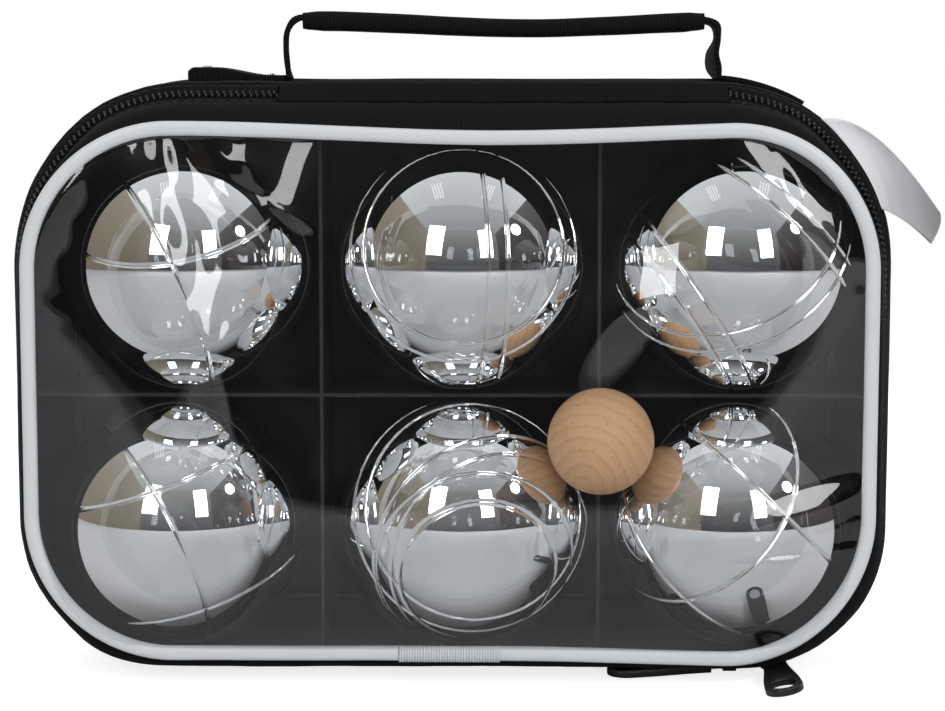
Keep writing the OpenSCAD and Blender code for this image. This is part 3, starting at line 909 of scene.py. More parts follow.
@dataclass(frozen=True)
class Finishes:
    """All the finishes of the set."""

    wall: Finish = ClothFinish("padded_cloth", (0.009, 0.009, 0.0105), 0.5, 0.1)
    ribbed_wall: Finish = RibbedFinish("ribbed_wall_cloth", (0.0095, 0.0095, 0.011), 1.15, 0.1, 0.85,
                                       crosswise=False)
    panel: Finish = ClothFinish("back_cloth", (0.01, 0.01, 0.0115), 0.6, 0.12)
    webbing: Finish = RibbedFinish("black_webbing", (0.009, 0.009, 0.01), 1.5, 0.2, 0.8)
    grip: Finish = RibbedFinish("ribbed_grip", (0.01, 0.01, 0.0115), 1.05, 0.3, 0.85)
    strip: Finish = RibbedFinish("ribbed_strip", (0.008, 0.008, 0.0095), 0.8, 0.15, 0.85)
    tape: Finish = ClothFinish("zip_tape", (0.008, 0.008, 0.009), 0.35, 0.08, 0.8)
    coil: Finish = MouldedFinish("zip_coil", (0.014, 0.014, 0.016), 0.38, 0.0, 0.004)
    thread: Finish = MouldedFinish("black_thread", (0.012, 0.012, 0.014), 0.7, 0.0, 0.01)
    satin: Finish = ClothFinish("white_satin", (0.84, 0.85, 0.87), 0.25, 0.008, 0.5, 0.1, 0.0, 0.03, 0.4)
    white_vinyl: Finish = MouldedFinish("white_vinyl", (0.71, 0.74, 0.76), 0.38, 0.03, 0.002, 0.15, marks=0.1)
    black_vinyl: Finish = MouldedFinish("black_vinyl", (0.014, 0.014, 0.015), 0.4, 0.03, 0.002)
    braid: Finish = RibbedFinish("white_braid", (0.78, 0.8, 0.82), 0.75, 0.3, 0.7)
    film: Finish = FilmFinish("clear_film")
    steel: Finish = PolishedFinish("polished_steel")
    beech: Finish = WoodFinish("turned_beech")
    rubber: Finish = MouldedFinish("pull_rubber", (0.008, 0.008, 0.008), 0.3, 0.01, 0.003)
    enamel: Finish = MouldedFinish("black_enamel", (0.02, 0.02, 0.022), 0.3, 0.01, 0.001, 0.6, 0.4)
    board: Finish = MouldedFinish("board", (0.03, 0.03, 0.032), 0.7, 0.01, 0.02)
    divider: Finish = MouldedFinish("divider_sheet", (0.012, 0.012, 0.013), 0.55, 0.06, 0.006)
    mortar: Finish = MouldedFinish("mortar", (0.3, 0.28, 0.25), 0.9, 0.05, 0.08)


# Repeated pieces


def beads_tree() -> bpy.types.GeometryNodeTree:
    """Return the tree that sets rounded beads, such as stitches or zip teeth, along lines.

    Returns:
        The tree, which ends in real geometry with its material.
    """
    tree = bpy.data.node_groups.new("Beads along a line", "GeometryNodeTree")
    for title, kind in (("Geometry", "Geometry"), ("Pitch", "Float"), ("Size", "Vector"),
                        ("Material", "Material")):
        tree.interface.new_socket(name=title, in_out="INPUT", socket_type="NodeSocket" + kind)
    tree.interface.new_socket(name="Geometry", in_out="OUTPUT", socket_type="NodeSocketGeometry")
    new, join = tree.nodes.new, tree.links.new
    start, end = new("NodeGroupInput"), new("NodeGroupOutput")
    line, even = new("GeometryNodeMeshToCurve"), new("GeometryNodeResampleCurve")
    even.mode = "LENGTH"
    bead, shaped = new("GeometryNodeMeshUVSphere"), new("GeometryNodeTransform")
    bead.inputs["Segments"].default_value = 8
    bead.inputs["Rings"].default_value = 5
    bead.inputs["Radius"].default_value = 0.5
    tangent, turn = new("GeometryNodeInputTangent"), new("FunctionNodeAlignRotationToVector")
    turn.axis, turn.pivot_axis = "X", "Y"
    put, real = new("GeometryNodeInstanceOnPoints"), new("GeometryNodeRealizeInstances")
    paint = new("GeometryNodeSetMaterial")
    join(start.outputs["Geometry"], line.inputs[0])
    join(line.outputs[0], even.inputs["Curve"])
    join(start.outputs["Pitch"], even.inputs["Length"])
    join(bead.outputs[0], shaped.inputs["Geometry"])
    join(start.outputs["Size"], shaped.inputs["Scale"])
    join(even.outputs[0], put.inputs["Points"])
    join(shaped.outputs[0], put.inputs["Instance"])
    join(tangent.outputs[0], turn.inputs["Vector"])
    join(turn.outputs[0], put.inputs["Rotation"])
    join(put.outputs[0], real.inputs[0])
    join(real.outputs[0], paint.inputs["Geometry"])
    join(start.outputs["Material"], paint.inputs["Material"])
    join(paint.outputs[0], end.inputs[0])
    return tree


BEADS = beads_tree()


def beads(name: str, lines: Iterable[Sequence[Point]], pitch: float, size: Point,
          finish: Finish) -> bpy.types.Object:
    """Return beads set along lines as one plain mesh.

    Args:
        name: The piece's name.
        lines: Rows of points in millimetres.
        pitch: Distance between beads.
        size: Size of a bead along the line, across it in depth, and outwards.
        finish: The beads' finish.

    Returns:
        The new object.
    """
    points: list[Point] = []
    edges: list[tuple[int, int]] = []
    for line in lines:
        base = len(points)
        points.extend(tuple(c * MM for c in p) for p in line)
        edges.extend((base + i, base + i + 1) for i in range(len(line) - 1))
    guide = bpy.data.meshes.new(name + "_guide")
    guide.from_pydata(points, edges, [])
    holder = place_mesh(guide)
    modifier = holder.modifiers.new("beads", "NODES")
    modifier.node_group = BEADS
    values = {"Pitch": pitch * MM, "Size": tuple(c * MM for c in size), "Material": finish.material()}
    for item in BEADS.interface.items_tree:
        if item.item_type == "SOCKET" and item.in_out == "INPUT" and item.name in values:
            modifier[item.identifier] = values[item.name]
    graph = bpy.context.evaluated_depsgraph_get()
    mesh = bpy.data.meshes.new_from_object(holder.evaluated_get(graph), depsgraph=graph)
    holder.modifiers.remove(modifier)
    bpy.data.objects.remove(holder)
    bpy.data.meshes.remove(guide)
    mesh.name = name
    mesh.shade_smooth()
    return place_mesh(mesh)


# Boules and jack


@dataclass(frozen=True)
class LineSet:
    """One incised line, or a pair, round a boule: how its circle is turned, and where it lies."""

    tilt: float
    turn: float
    offset: float
    count: int = 1

    def circles(self, gap: float) -> list[tuple[Vector, float]]:
        """Return each line's circle.

        Args:
            gap: Distance between the lines of a pair.

        Returns:
            The axis and the offset of each circle.
        """
        t, u = math.radians(self.tilt), math.radians(self.turn)
        axis = Vector((math.sin(u) * math.sin(t), -math.cos(u) * math.sin(t), math.cos(t)))
        return [(axis, self.offset + (k - (self.count - 1) / 2) * gap) for k in range(self.count)]


@dataclass
class BouleSet:
    """Six polished boules, each with its own incised lines, and the wooden jack."""

    finishes: Finishes
    diameter: float = 73.0
    line_width: float = 1.5
    line_depth: float = 0.5
    pair_gap: float = 5.5
    cuts: int = 60
    jack_d: float = 30.0
    jack_cuts: int = 40
    lines: dict[str, tuple[LineSet, ...]] = field(default_factory=lambda: {
        "bottom_left": (LineSet(20, -69, 17.8), LineSet(113, -65, 10.7), LineSet(157, 132, 14.6)),
        "bottom_middle": (LineSet(107, 24, 17.6, 2), LineSet(73, 10, 17.0, 2), LineSet(110, 9, 26.2, 2)),
        "bottom_right": (LineSet(44, 98, 10.0), LineSet(59, -44, 17.1), LineSet(128, -132, 4.9)),
        "top_left": (LineSet(27, -18, 18.3), LineSet(113, -70, 10.9)),
        "top_middle": (LineSet(90, 99, 5.0, 2), LineSet(74, 2, 20.9, 2)),
        "top_right": (LineSet(124, -84, 19.6, 2), LineSet(52, -25, 11.6, 2), LineSet(46, 111, 12.5, 2)),
    })

    def ball(self, radius: float, cuts: int) -> bmesh.types.BMesh:
        """Return a sphere of even faces.

        Args:
            radius: Its radius.
            cuts: Cuts along each edge of the cube that it starts from.

        Returns:
            The sphere, in millimetres.
        """
        work = bmesh.new()
        bmesh.ops.create_cube(work, size=2.0)
        bmesh.ops.subdivide_edges(work, edges=work.edges[:], cuts=cuts, use_grid_fill=True)
        for v in work.verts:
            x, y, z = (c * c for c in v.co)
            v.co = Vector((v.co.x * math.sqrt(max(1 - y / 2 - z / 2 + y * z / 3, 0)),
                           v.co.y * math.sqrt(max(1 - z / 2 - x / 2 + z * x / 3, 0)),
                           v.co.z * math.sqrt(max(1 - x / 2 - y / 2 + x * y / 3, 0)))).normalized() * radius
        return work

    def ball_mesh(self, name: str, work: bmesh.types.BMesh, finish: Finish) -> bpy.types.Mesh:
        """Return the mesh of a worked ball.

        Args:
            name: The mesh's name.
            work: The ball, which is used up.
            finish: Its finish.

        Returns:
            The mesh, shaded smooth.
        """
        mesh = bpy.data.meshes.new(name)
        work.to_mesh(mesh)
        work.free()
        mesh.materials.append(finish.material())
        mesh.shade_smooth()
        return mesh

    def boule(self, name: str) -> bpy.types.Object:
        """Return one boule.

        Args:
            name: The boule's place in the case.

        Returns:
            The boule, with its lines cut as rounded grooves.
        """
        radius = self.diameter / 2
        low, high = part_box("boule_%s_core" % name)
        centre = (low + high) / 2
        circles = [c for group in self.lines[name] for c in group.circles(self.pair_gap)]
        work = self.ball(radius, self.cuts)
        for axis, offset in circles:
            for share in (-0.5, -0.25, 0.0, 0.25, 0.5):
                plane = axis * (offset + share * self.line_width)
                bmesh.ops.bisect_plane(work, geom=work.verts[:] + work.edges[:] + work.faces[:], dist=1e-5,
                                       plane_co=plane, plane_no=axis)
        normals = []
        for v in work.verts:
            outwards = v.co.normalized()
            depth, slope = 0.0, Vector()
            for axis, offset in circles:
                away = outwards.dot(axis) * radius - offset
                if abs(away) < self.line_width / 2:
                    turn = math.pi * away / self.line_width
                    found = self.line_depth * math.cos(turn) ** 2
                    if found > depth:
                        rate = -self.line_depth * math.pi / self.line_width * math.sin(2 * turn)
                        depth, slope = found, (axis - outwards * axis.dot(outwards)) * rate
            normals.append((outwards + slope).normalized())
            v.co = (outwards * (radius - depth)) * MM + centre
        mesh = self.ball_mesh("polished_boule_" + name, work, self.finishes.steel)
        mesh.normals_split_custom_set_from_vertices(normals)
        return place_mesh(mesh)

    def jack(self) -> bpy.types.Object:
        """Return the turned wooden jack.

        Returns:
            The jack, very slightly out of round.
        """
        low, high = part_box("jack")
        centre = (low + high) / 2
        radius = self.jack_d / 2
        work = self.ball(radius, self.jack_cuts)
        for v in work.verts:
            outwards = v.co.normalized()
            flat = 0.12 * max(0.0, abs(outwards.x * 0.94 + outwards.z * 0.34) - 0.985) / 0.015
            uneven = 0.04 * drift(*v.co, 9.0, 3.0)
            v.co = (outwards * (radius - flat + uneven)) * MM + centre
        return place_mesh(self.ball_mesh("wooden_jack", work, self.finishes.beech))

    def build(self) -> None:
        """Make the boules and the jack and hang them on their bodies."""
        for name in self.lines:
            dress(self.boule(name), "boule_" + name, "polished_shell",
                  *("boule_%s_%s" % (name, part) for part in ("front_shell", "rear_shell", "weld")))
        dress(self.jack(), Body.JACK, "beech", "jack")


# Sewn case


@dataclass
class PaddedWalls:
    """The front and the rear side wall, lofted through the case's outlines and gathered at their seams."""

    finishes: Finishes
    form: CaseForm = FORM
    swell: float = 0.35
    pucker: float = 0.22
    sway: float = 0.5
    drawn_in: float = 0.35
    seam_w: float = 0.7
    seam_reach: float = 5.0
    front_rows: int = 20
    rear_rows: int = 36
    front_seams: tuple[float, ...] = (-34.2, -24.2)
    rear_seams: tuple[float, ...] = (-13.6, 33.4)
    tape_gap: float = 0.05
    last_low: float = 8.8
    front_shares: tuple[Point, ...] = ((0.3, 0.35, 0.6), (0.65, 0.6, 0.38))
    rear_shares: tuple[Place, ...] = ((0.25, 0.86), (0.48, 0.97), (0.58, 1.0), (0.7, 0.88), (0.86, 0.52))

    def rows(self, stations: Sequence[tuple[float, Outline]], count: int, seams: Sequence[float],
             sagging: bool) -> list[list[Point]]:
        """Return the rows of a closed wall.

        Args:
            stations: Depth and outline of each station.
            count: Rows of the outer skin.
            seams: Depths at which a line of stitching draws the cloth in.
            sagging: Lets the top edge of the first row hang like the window frame's.

        Returns:
            Rows round the case, first over the outer skin and then back over the inner one.
        """
        names = ("half_w", "bottom", "top", "r_top", "r_low")
        outer, inner = [], []
        for i in range(count):
            share = i / (count - 1)
            at = share * (len(stations) - 1)
            y = spline([s[0] for s in stations], at)
            line = Outline(*(spline([getattr(s[1], n) for s in stations], at) for n in names))
            puff = self.swell * math.sin(math.pi * share)
            drawn = sum(self.drawn_in * bell(y - seam, self.seam_w) for seam in seams)
            skin, lining = [], []
            run = 0.0
            ring = line.ring()
            for j, (x, z, nx, nz) in enumerate(ring):
                run += math.hypot(x - ring[j - 1][0], z - ring[j - 1][1]) if j else 0.0
                near = sum(bell(y - seam, self.seam_reach) for seam in seams)
                gather = self.pucker * near * drift(run, y * 0.3, 0, 4.5, 1.0)
                sway = self.sway * drift(run, y, 0, 34.0, 5.0) * math.sin(math.pi * share)
                flat = mix(1.0, ease((z - 1.0) / 5), clamp(-nz * 3))
                out = (puff + gather + sway - drawn) * flat + self.form.lean(x, y, z)
                hang = self.form.sag(x, z) * (1 - share) ** 1.5 if sagging else 0.0
                skin.append((x + nx * out, y, max(z + nz * out + hang, 0.0)))
                inner_out = self.form.lean(x, y, z) - self.form.wall_t
                lining.append((x + nx * inner_out, y, z + nz * inner_out + hang))
            outer.append(skin)
            inner.append(lining)
        return outer + inner[::-1]

    def build(self) -> None:
        """Make both walls."""
        form, made = self.form, self.finishes
        front = [(-form.wall_end_y, form.rim_wall)]
        for depth, bulge, low in self.front_shares:
            front.append((mix(-form.wall_end_y, form.zip_y - form.tape_end, depth),
                          between(form.rim_wall, form.crest, bulge, low * form.rim_wall.bottom)))
        front.append((form.zip_y - form.tape_end - self.tape_gap, form.tape()))
        start = form.zip_y + form.tape_end + self.tape_gap
        deep = form.wall_end_y - start
        rear = [(start, form.tape()), (start + 1.8, between(form.rim_wall, form.crest, 0.775, 0.0))]
        for share, bulge in self.rear_shares:
            low = max(0.0, (share - 0.72) / 0.28) * self.last_low
            rear.append((start + share * deep, between(form.rim_wall, form.crest, bulge, low)))
        rear.append((form.wall_end_y, form.rim_wall))
        shape = Shape.of(self.rows(front, self.front_rows, self.front_seams, True), closed=True)
        dress(shape.to_object("padded_front_wall", made.ribbed_wall), Body.LID, "case_cloth", "front_gusset")
        shape = Shape.of(self.rows(rear, self.rear_rows, self.rear_seams, False), closed=True)
        dress(shape.to_object("padded_rear_wall", made.wall), Body.CASE, "case_cloth", "rear_gusset")


@dataclass
class Pipings:
    """White piping round the window, black piping round the back, and the woven sleeve over the joint."""

    finishes: Finishes
    form: CaseForm = FORM
    radius: float = 1.9
    sleeve_l: float = 28.0

    def run(self, y: float, sagging: bool, sides: int = 20) -> Shape:
        """Return a cord that follows the rim.

        Args:
            y: Its depth.
            sagging: Lets it hang with the window frame.
            sides: Points round its section.

        Returns:
            The cord, slightly flattened by its sewing.
        """
        rows = []
        for k in range(sides):
            a = 2 * math.pi * k / sides
            wide = 1.05 * math.copysign(abs(math.cos(a)) ** 0.72, math.cos(a))
            deep = math.copysign(abs(math.sin(a)) ** 0.86, math.sin(a))
            row = []
            for x, z, nx, nz in self.form.rim.ring(2):
                r = self.radius * (1 + 0.02 * drift(x, y, z, 12.0, 2.0))
                hang = self.form.sag(x, z) if sagging else 0.0
                wave = 0.12 * drift(x, 0, z, 26.0, 8.0)
                row.append((x + nx * (r * wide + wave), y + r * deep, z + nz * (r * wide + wave) + hang))
            rows.append(row)
        return Shape.of(rows, closed=True)

    def sleeve(self) -> Shape:
        """Return the woven sleeve.

        Returns:
            The sleeve, open at the back where it is sewn in.
        """
        rows = []
        half = self.sleeve_l / 2
        for i in range(57):
            x = mix(-half, half, i / 56)
            fray = 0.1 * bell(abs(x) - half, 0.8)
            row = []
            for inner in (False, True):
                arc = [mix(-160, 100, k / 22) for k in range(23)]
                for a in (reversed(arc) if inner else arc):
                    rib = 0.06 * abs(math.sin(x * math.pi / 1.5))
                    r = self.radius + (0.12 if inner else 0.5 + rib + fray)
                    y = r * math.sin(math.radians(a)) - self.form.rim_y
                    row.append((x, y, self.form.rim.bottom - r * math.cos(math.radians(a))))
            rows.append(row)
        return Shape.of(rows)

    def build(self) -> None:
        """Make the two pipings and the sleeve."""
        made, rim_y = self.finishes, self.form.rim_y
        dress(self.run(-rim_y, True).to_object("white_piping_run", made.white_vinyl), Body.LID,
              "white_piping", "front_piping")
        dress(self.run(rim_y, False).to_object("black_piping_run", made.black_vinyl), Body.CASE,
              "black_piping", "rear_piping")
        dress(self.sleeve().to_object("woven_joint_sleeve", made.braid), Body.LID, "white_braid",
              "piping_sleeve")


@dataclass(frozen=True)
class Glint:
    """A slanted patch of the film that mirrors a lamp: its place, half sizes, turn and the lamp's place."""

    x: float
    z: float
    wide: float
    long: float
    turn: float
    lamp: Point

    def mirror_slopes(self, y: float) -> Place:
        """Return the slopes with which film at this depth mirrors the lamp to the camera.

        Args:
            y: The film's depth.

        Returns:
            The slopes along x and z.
        """
        here = Vector((self.x, y, self.z)) * MM
        half = (Vector(CAMERA_AT) - here).normalized() + (Vector(self.lamp) - here).normalized()
        return half.x / half.y, half.z / half.y

    def lift(self, x: float, z: float, slope_x: float, slope_z: float) -> float:
        """Return how far the film stands out here when the patch has these slopes.

        Args:
            x, z: The place, in millimetres.
            slope_x, slope_z: The patch's slopes.

        Returns:
            The height that the patch adds at this place.
        """
        dx, dz = x - self.x, z - self.z
        a = math.radians(self.turn)
        across, along = dx * math.cos(a) - dz * math.sin(a), dx * math.sin(a) + dz * math.cos(a)
        spread = (across / self.wide) ** 2 + (along / self.long) ** 2
        fade = math.exp(-spread / 14) / math.sqrt(1 + spread ** 2)
        return (slope_x * dx + slope_z * dz) * fade


@dataclass
class WindowFilm:
    """The clear window: thin film that bellies outwards low down, is gathered at its edge and has folds."""

    finishes: Finishes
    form: CaseForm = FORM
    thickness: float = 0.45
    belly: float = 13.0
    belly_low: float = 9.9
    belly_h: float = 144.2
    belly_half_w: float = 114.9
    belly_start: float = 0.07
    seam_inset: float = 0.7
    rings: int = 90
    crowding: float = 1.15
    gather_h: float = 0.16
    gather_reach: float = 9.0
    slack_h: float = 0.35
    mean_y: float = -44.0
    glints: tuple[Glint, ...] = (
        Glint(-100, 145, 2.4, 12, 35, LEFT_LAMP_AT), Glint(-86, 149, 6, 5, 0, LEFT_LAMP_AT),
        Glint(-81.5, 139.5, 3, 13.5, -10, LEFT_LAMP_AT), Glint(-71, 141, 3, 12.5, -20, LEFT_LAMP_AT),
        Glint(-66.5, 112.5, 4.5, 20.5, -6, LEFT_LAMP_AT), Glint(-57, 148, 1.6, 4, -40, LEFT_LAMP_AT),
        Glint(-42.5, 143.5, 4.5, 10.5, 0, LEFT_LAMP_AT), Glint(-49.5, 135, 1, 5, -62, LEFT_LAMP_AT),
        Glint(85, 146.5, 3, 8, -15, RIGHT_LAMP_AT), Glint(91, 144.5, 2, 5.5, -12, RIGHT_LAMP_AT),
        Glint(57, 116, 6, 13.5, 44, RIGHT_LAMP_AT), Glint(98, 133.5, 3.5, 8.5, -30, RIGHT_LAMP_AT),
        Glint(98, 53.5, 4.5, 12.5, 72, RIGHT_LAMP_AT), Glint(108, 46.5, 1, 6, 85, RIGHT_LAMP_AT),
        Glint(101, 39, 1, 10.5, 88, RIGHT_LAMP_AT),
    )
    slopes: list[Place] = field(init=False)

    def __post_init__(self) -> None:
        """Work out the slopes that each glint adds to the belly's own."""
        self.slopes = []
        step = 0.01
        for g in self.glints:
            need_x, need_z = g.mirror_slopes(self.mean_y)
            own_x = (self.swell(g.x + step, g.z) - self.swell(g.x - step, g.z)) / (2 * step)
            own_z = (self.swell(g.x, g.z + step) - self.swell(g.x, g.z - step)) / (2 * step)
            self.slopes.append((need_x - own_x, need_z - own_z))

    def swell(self, x: float, z: float) -> float:
        """Return how far the plain belly stands out.

        Args:
            x, z: The place, in millimetres.

        Returns:
            The height, which is largest low down.
        """
        rise = clamp((z - self.belly_low) / self.belly_h)
        across = clamp(1 - (abs(x) / self.belly_half_w) ** 4)
        return self.belly * across * (1 - rise) * (1 - math.exp(-rise / self.belly_start))

    def lift(self, x: float, z: float, edge: float) -> float:
        """Return how far the film stands out towards the front.

        Args:
            x, z: The place, in millimetres.
            edge: Its distance to the seam.

        Returns:
            The height in front of the frame's plane.
        """
        gather = self.gather_h * bell(edge, self.gather_reach) * drift(x, 0, z, 7.0, 4.0) * ease(edge / 2.0)
        slack = self.slack_h * drift(x, 0, z, 46.0, 9.0) * ease(edge / 12.0)
        folds = sum(g.lift(x, z, *slope) for g, slope in zip(self.glints, self.slopes)) * ease(edge / 2.5)
        return self.swell(x, z) + gather + slack + folds

    def skins(self, x: float, z: float, edge: float) -> Place:
        """Return the depths of the film's outer and inner skin at a place."""
        y = -self.form.rim_y - self.lift(x, z, edge)
        return y - self.thickness / 2, y + self.thickness / 2

    def build(self) -> None:
        """Make the film as a thin closed skin."""
        form = self.form
        outline = form.rim.grown(-self.seam_inset)
        edge = [(x, z + form.sag(x, z)) for x, z, _, _ in outline.ring(2)]
        middle = (outline.top + outline.bottom) / 2
        shape = Shape.of(sheet_rows(edge, middle, self.rings, self.crowding, self.skins))
        dress(shape.to_object("window_film", self.finishes.film), Body.LID, "clear_pvc", "window")


@dataclass
class ZipRun:
    """The zip: two tapes, two rows of coil, the ribbed strip that hinges the lid, and lines of stitching."""

    finishes: Finishes
    form: CaseForm = FORM
    teeth_reach: float = 0.65
    tooth_pitch: float = 1.8
    tooth_size: Point = (0.88, 3.0, 1.5)
    stitch_pitch: float = 3.2
    stitch_size: Point = (2.5, 0.4, 0.35)
    stitch_hang: float = 0.8
    tape_seam: float = 3.3
    tape_section: tuple[Place, ...] = ((0.0, -0.75), (0.35, -0.7), (0.5, -0.05), (0.75, 0.06), (1.0, 0.0),
                                       (1.0, -0.95), (0.5, -1.0), (0.0, -1.05))

    def tape_shape(self, y0: float, y1: float) -> Shape:
        """Return a tape from one depth to another.

        Args:
            y0: Depth of its edge at the teeth.
            y1: Depth of its outer edge.

        Returns:
            The tape, with a slight crown.
        """
        rows = []
        for x, z, nx, nz in self.form.off_hinge(self.form.tape().ring()):
            row = []
            for s, lift in self.tape_section:
                y = mix(y0, y1, s)
                out = lift + self.form.lean(x, y, z)
                row.append((x + nx * out, y, z + nz * out))
            rows.append(row)
        return Shape.of(rows)

    def line_along(self, ring: Sequence[RingPlace], y: float, out: float, hang: float = 0.0) -> list[Point]:
        """Return a line that follows the sewn case.

        Args:
            ring: Places round the case.
            y: Its depth.
            out: How far it stands out.
            hang: The share of the window frame's sag that it takes part in.

        Returns:
            The line's places.
        """
        line = []
        for x, z, nx, nz in ring:
            far = out + self.form.lean(x, y, z)
            line.append((x + nx * far, y, z + nz * far + self.form.sag(x, z) * hang))
        return line

    def tooth_line(self, side: int, shift: float) -> list[Point]:
        """Return the line that one row of coil follows.

        Args:
            side: -1 for the front row, 1 for the rear one.
            shift: How far it is shifted along the zip.

        Returns:
            The line's places.
        """
        y = self.form.zip_y + side * self.teeth_reach
        line = self.line_along(self.form.off_hinge(self.form.zip().ring(3)), y, 0.0)
        first = Vector(line[0])
        step = (Vector(line[1]) - first).normalized() * shift
        return [tuple(first + step)] + line[1:]

    def stitch_line(self, outline: Outline, y: float, out: float, sagging: bool = False) -> list[Point]:
        """Return a line of stitching round the whole case.

        Args:
            outline: The outline at its depth.
            y: Its depth.
            out: How far it stands out.
            sagging: Lets it hang with the window frame.

        Returns:
            The line's places.
        """
        ring = outline.ring()
        return self.line_along(ring + ring[:1], y, out, self.stitch_hang if sagging else 0.0)

    def hinge_shape(self) -> Shape:
        """Return the ribbed strip between the two ends of the zip.

        Returns:
            The strip, with its ends capped.
        """
        low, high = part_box("hinge_strip")
        x0, x1 = low.x / MM, high.x / MM
        y0, y1, z0, z1 = low.y / MM - 0.9, high.y / MM + 0.5, low.z / MM - 0.6, high.z / MM - 0.6
        rows = []
        for i in range(141):
            x = mix(x0, x1, i / 140)
            dip = 0.15 * drift(x, 0, 0, 21.0, 6.0)
            upper, lower = [], []
            for k in range(13):
                y = mix(y0, y1, k / 12)
                upper.append((x, y, z1 + self.form.lean(x, y, z1) + (0.4 + dip) * math.sin(math.pi * k / 12)))
            for k in range(5):
                y = mix(y1, y0, k / 4)
                lower.append((x, y, z0 + self.form.lean(x, y, z1)))
            rows.append(upper + lower)
        return Shape.of(rows)

    def build(self) -> None:
        """Make all the pieces of the zip."""
        form, made = self.form, self.finishes
        halves = (("front", -1, Body.LID, 0.0), ("rear", 1, Body.CASE, self.tooth_pitch / 2))
        for name, side, body, _ in halves:
            tape = self.tape_shape(form.zip_y + side * 0.1, form.zip_y + side * form.tape_end)
            dress(tape.to_object(name + "_zip_tape_cloth", made.tape), body, "zip_tape", "zip_tape_" + name)
        for name, side, body, shift in halves:
            line = self.tooth_line(side, shift)
            dress(beads(name + "_zip_coil", [line], self.tooth_pitch, self.tooth_size, made.coil), body,
                  "zip_coil", "zip_teeth_" + name)
        strip = self.hinge_shape().to_object("ribbed_hinge_strip", made.strip)
        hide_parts("hinge_strip")
        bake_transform(strip)
        near_front = between(form.rim_wall, form.crest, 0.12, form.rim_wall.bottom * 0.9)
        near_back = between(form.rim_wall, form.crest, 0.13, 8.0)
        lid_lines = [self.stitch_line(near_front, -34.2, 0.3, True),
                     self.stitch_line(form.tape(), form.zip_y - self.tape_seam, 0.12)]
        case_lines = [self.stitch_line(form.tape(), form.zip_y + self.tape_seam, 0.12),
                      self.stitch_line(near_back, 33.6, 0.2)]
        for name, lines, body in (("lid", lid_lines, Body.LID), ("case", case_lines, Body.CASE)):
            stitches = beads(name + "_stitching", lines, self.stitch_pitch, self.stitch_size, made.thread)
            dress(stitches, body, "zip_tape")


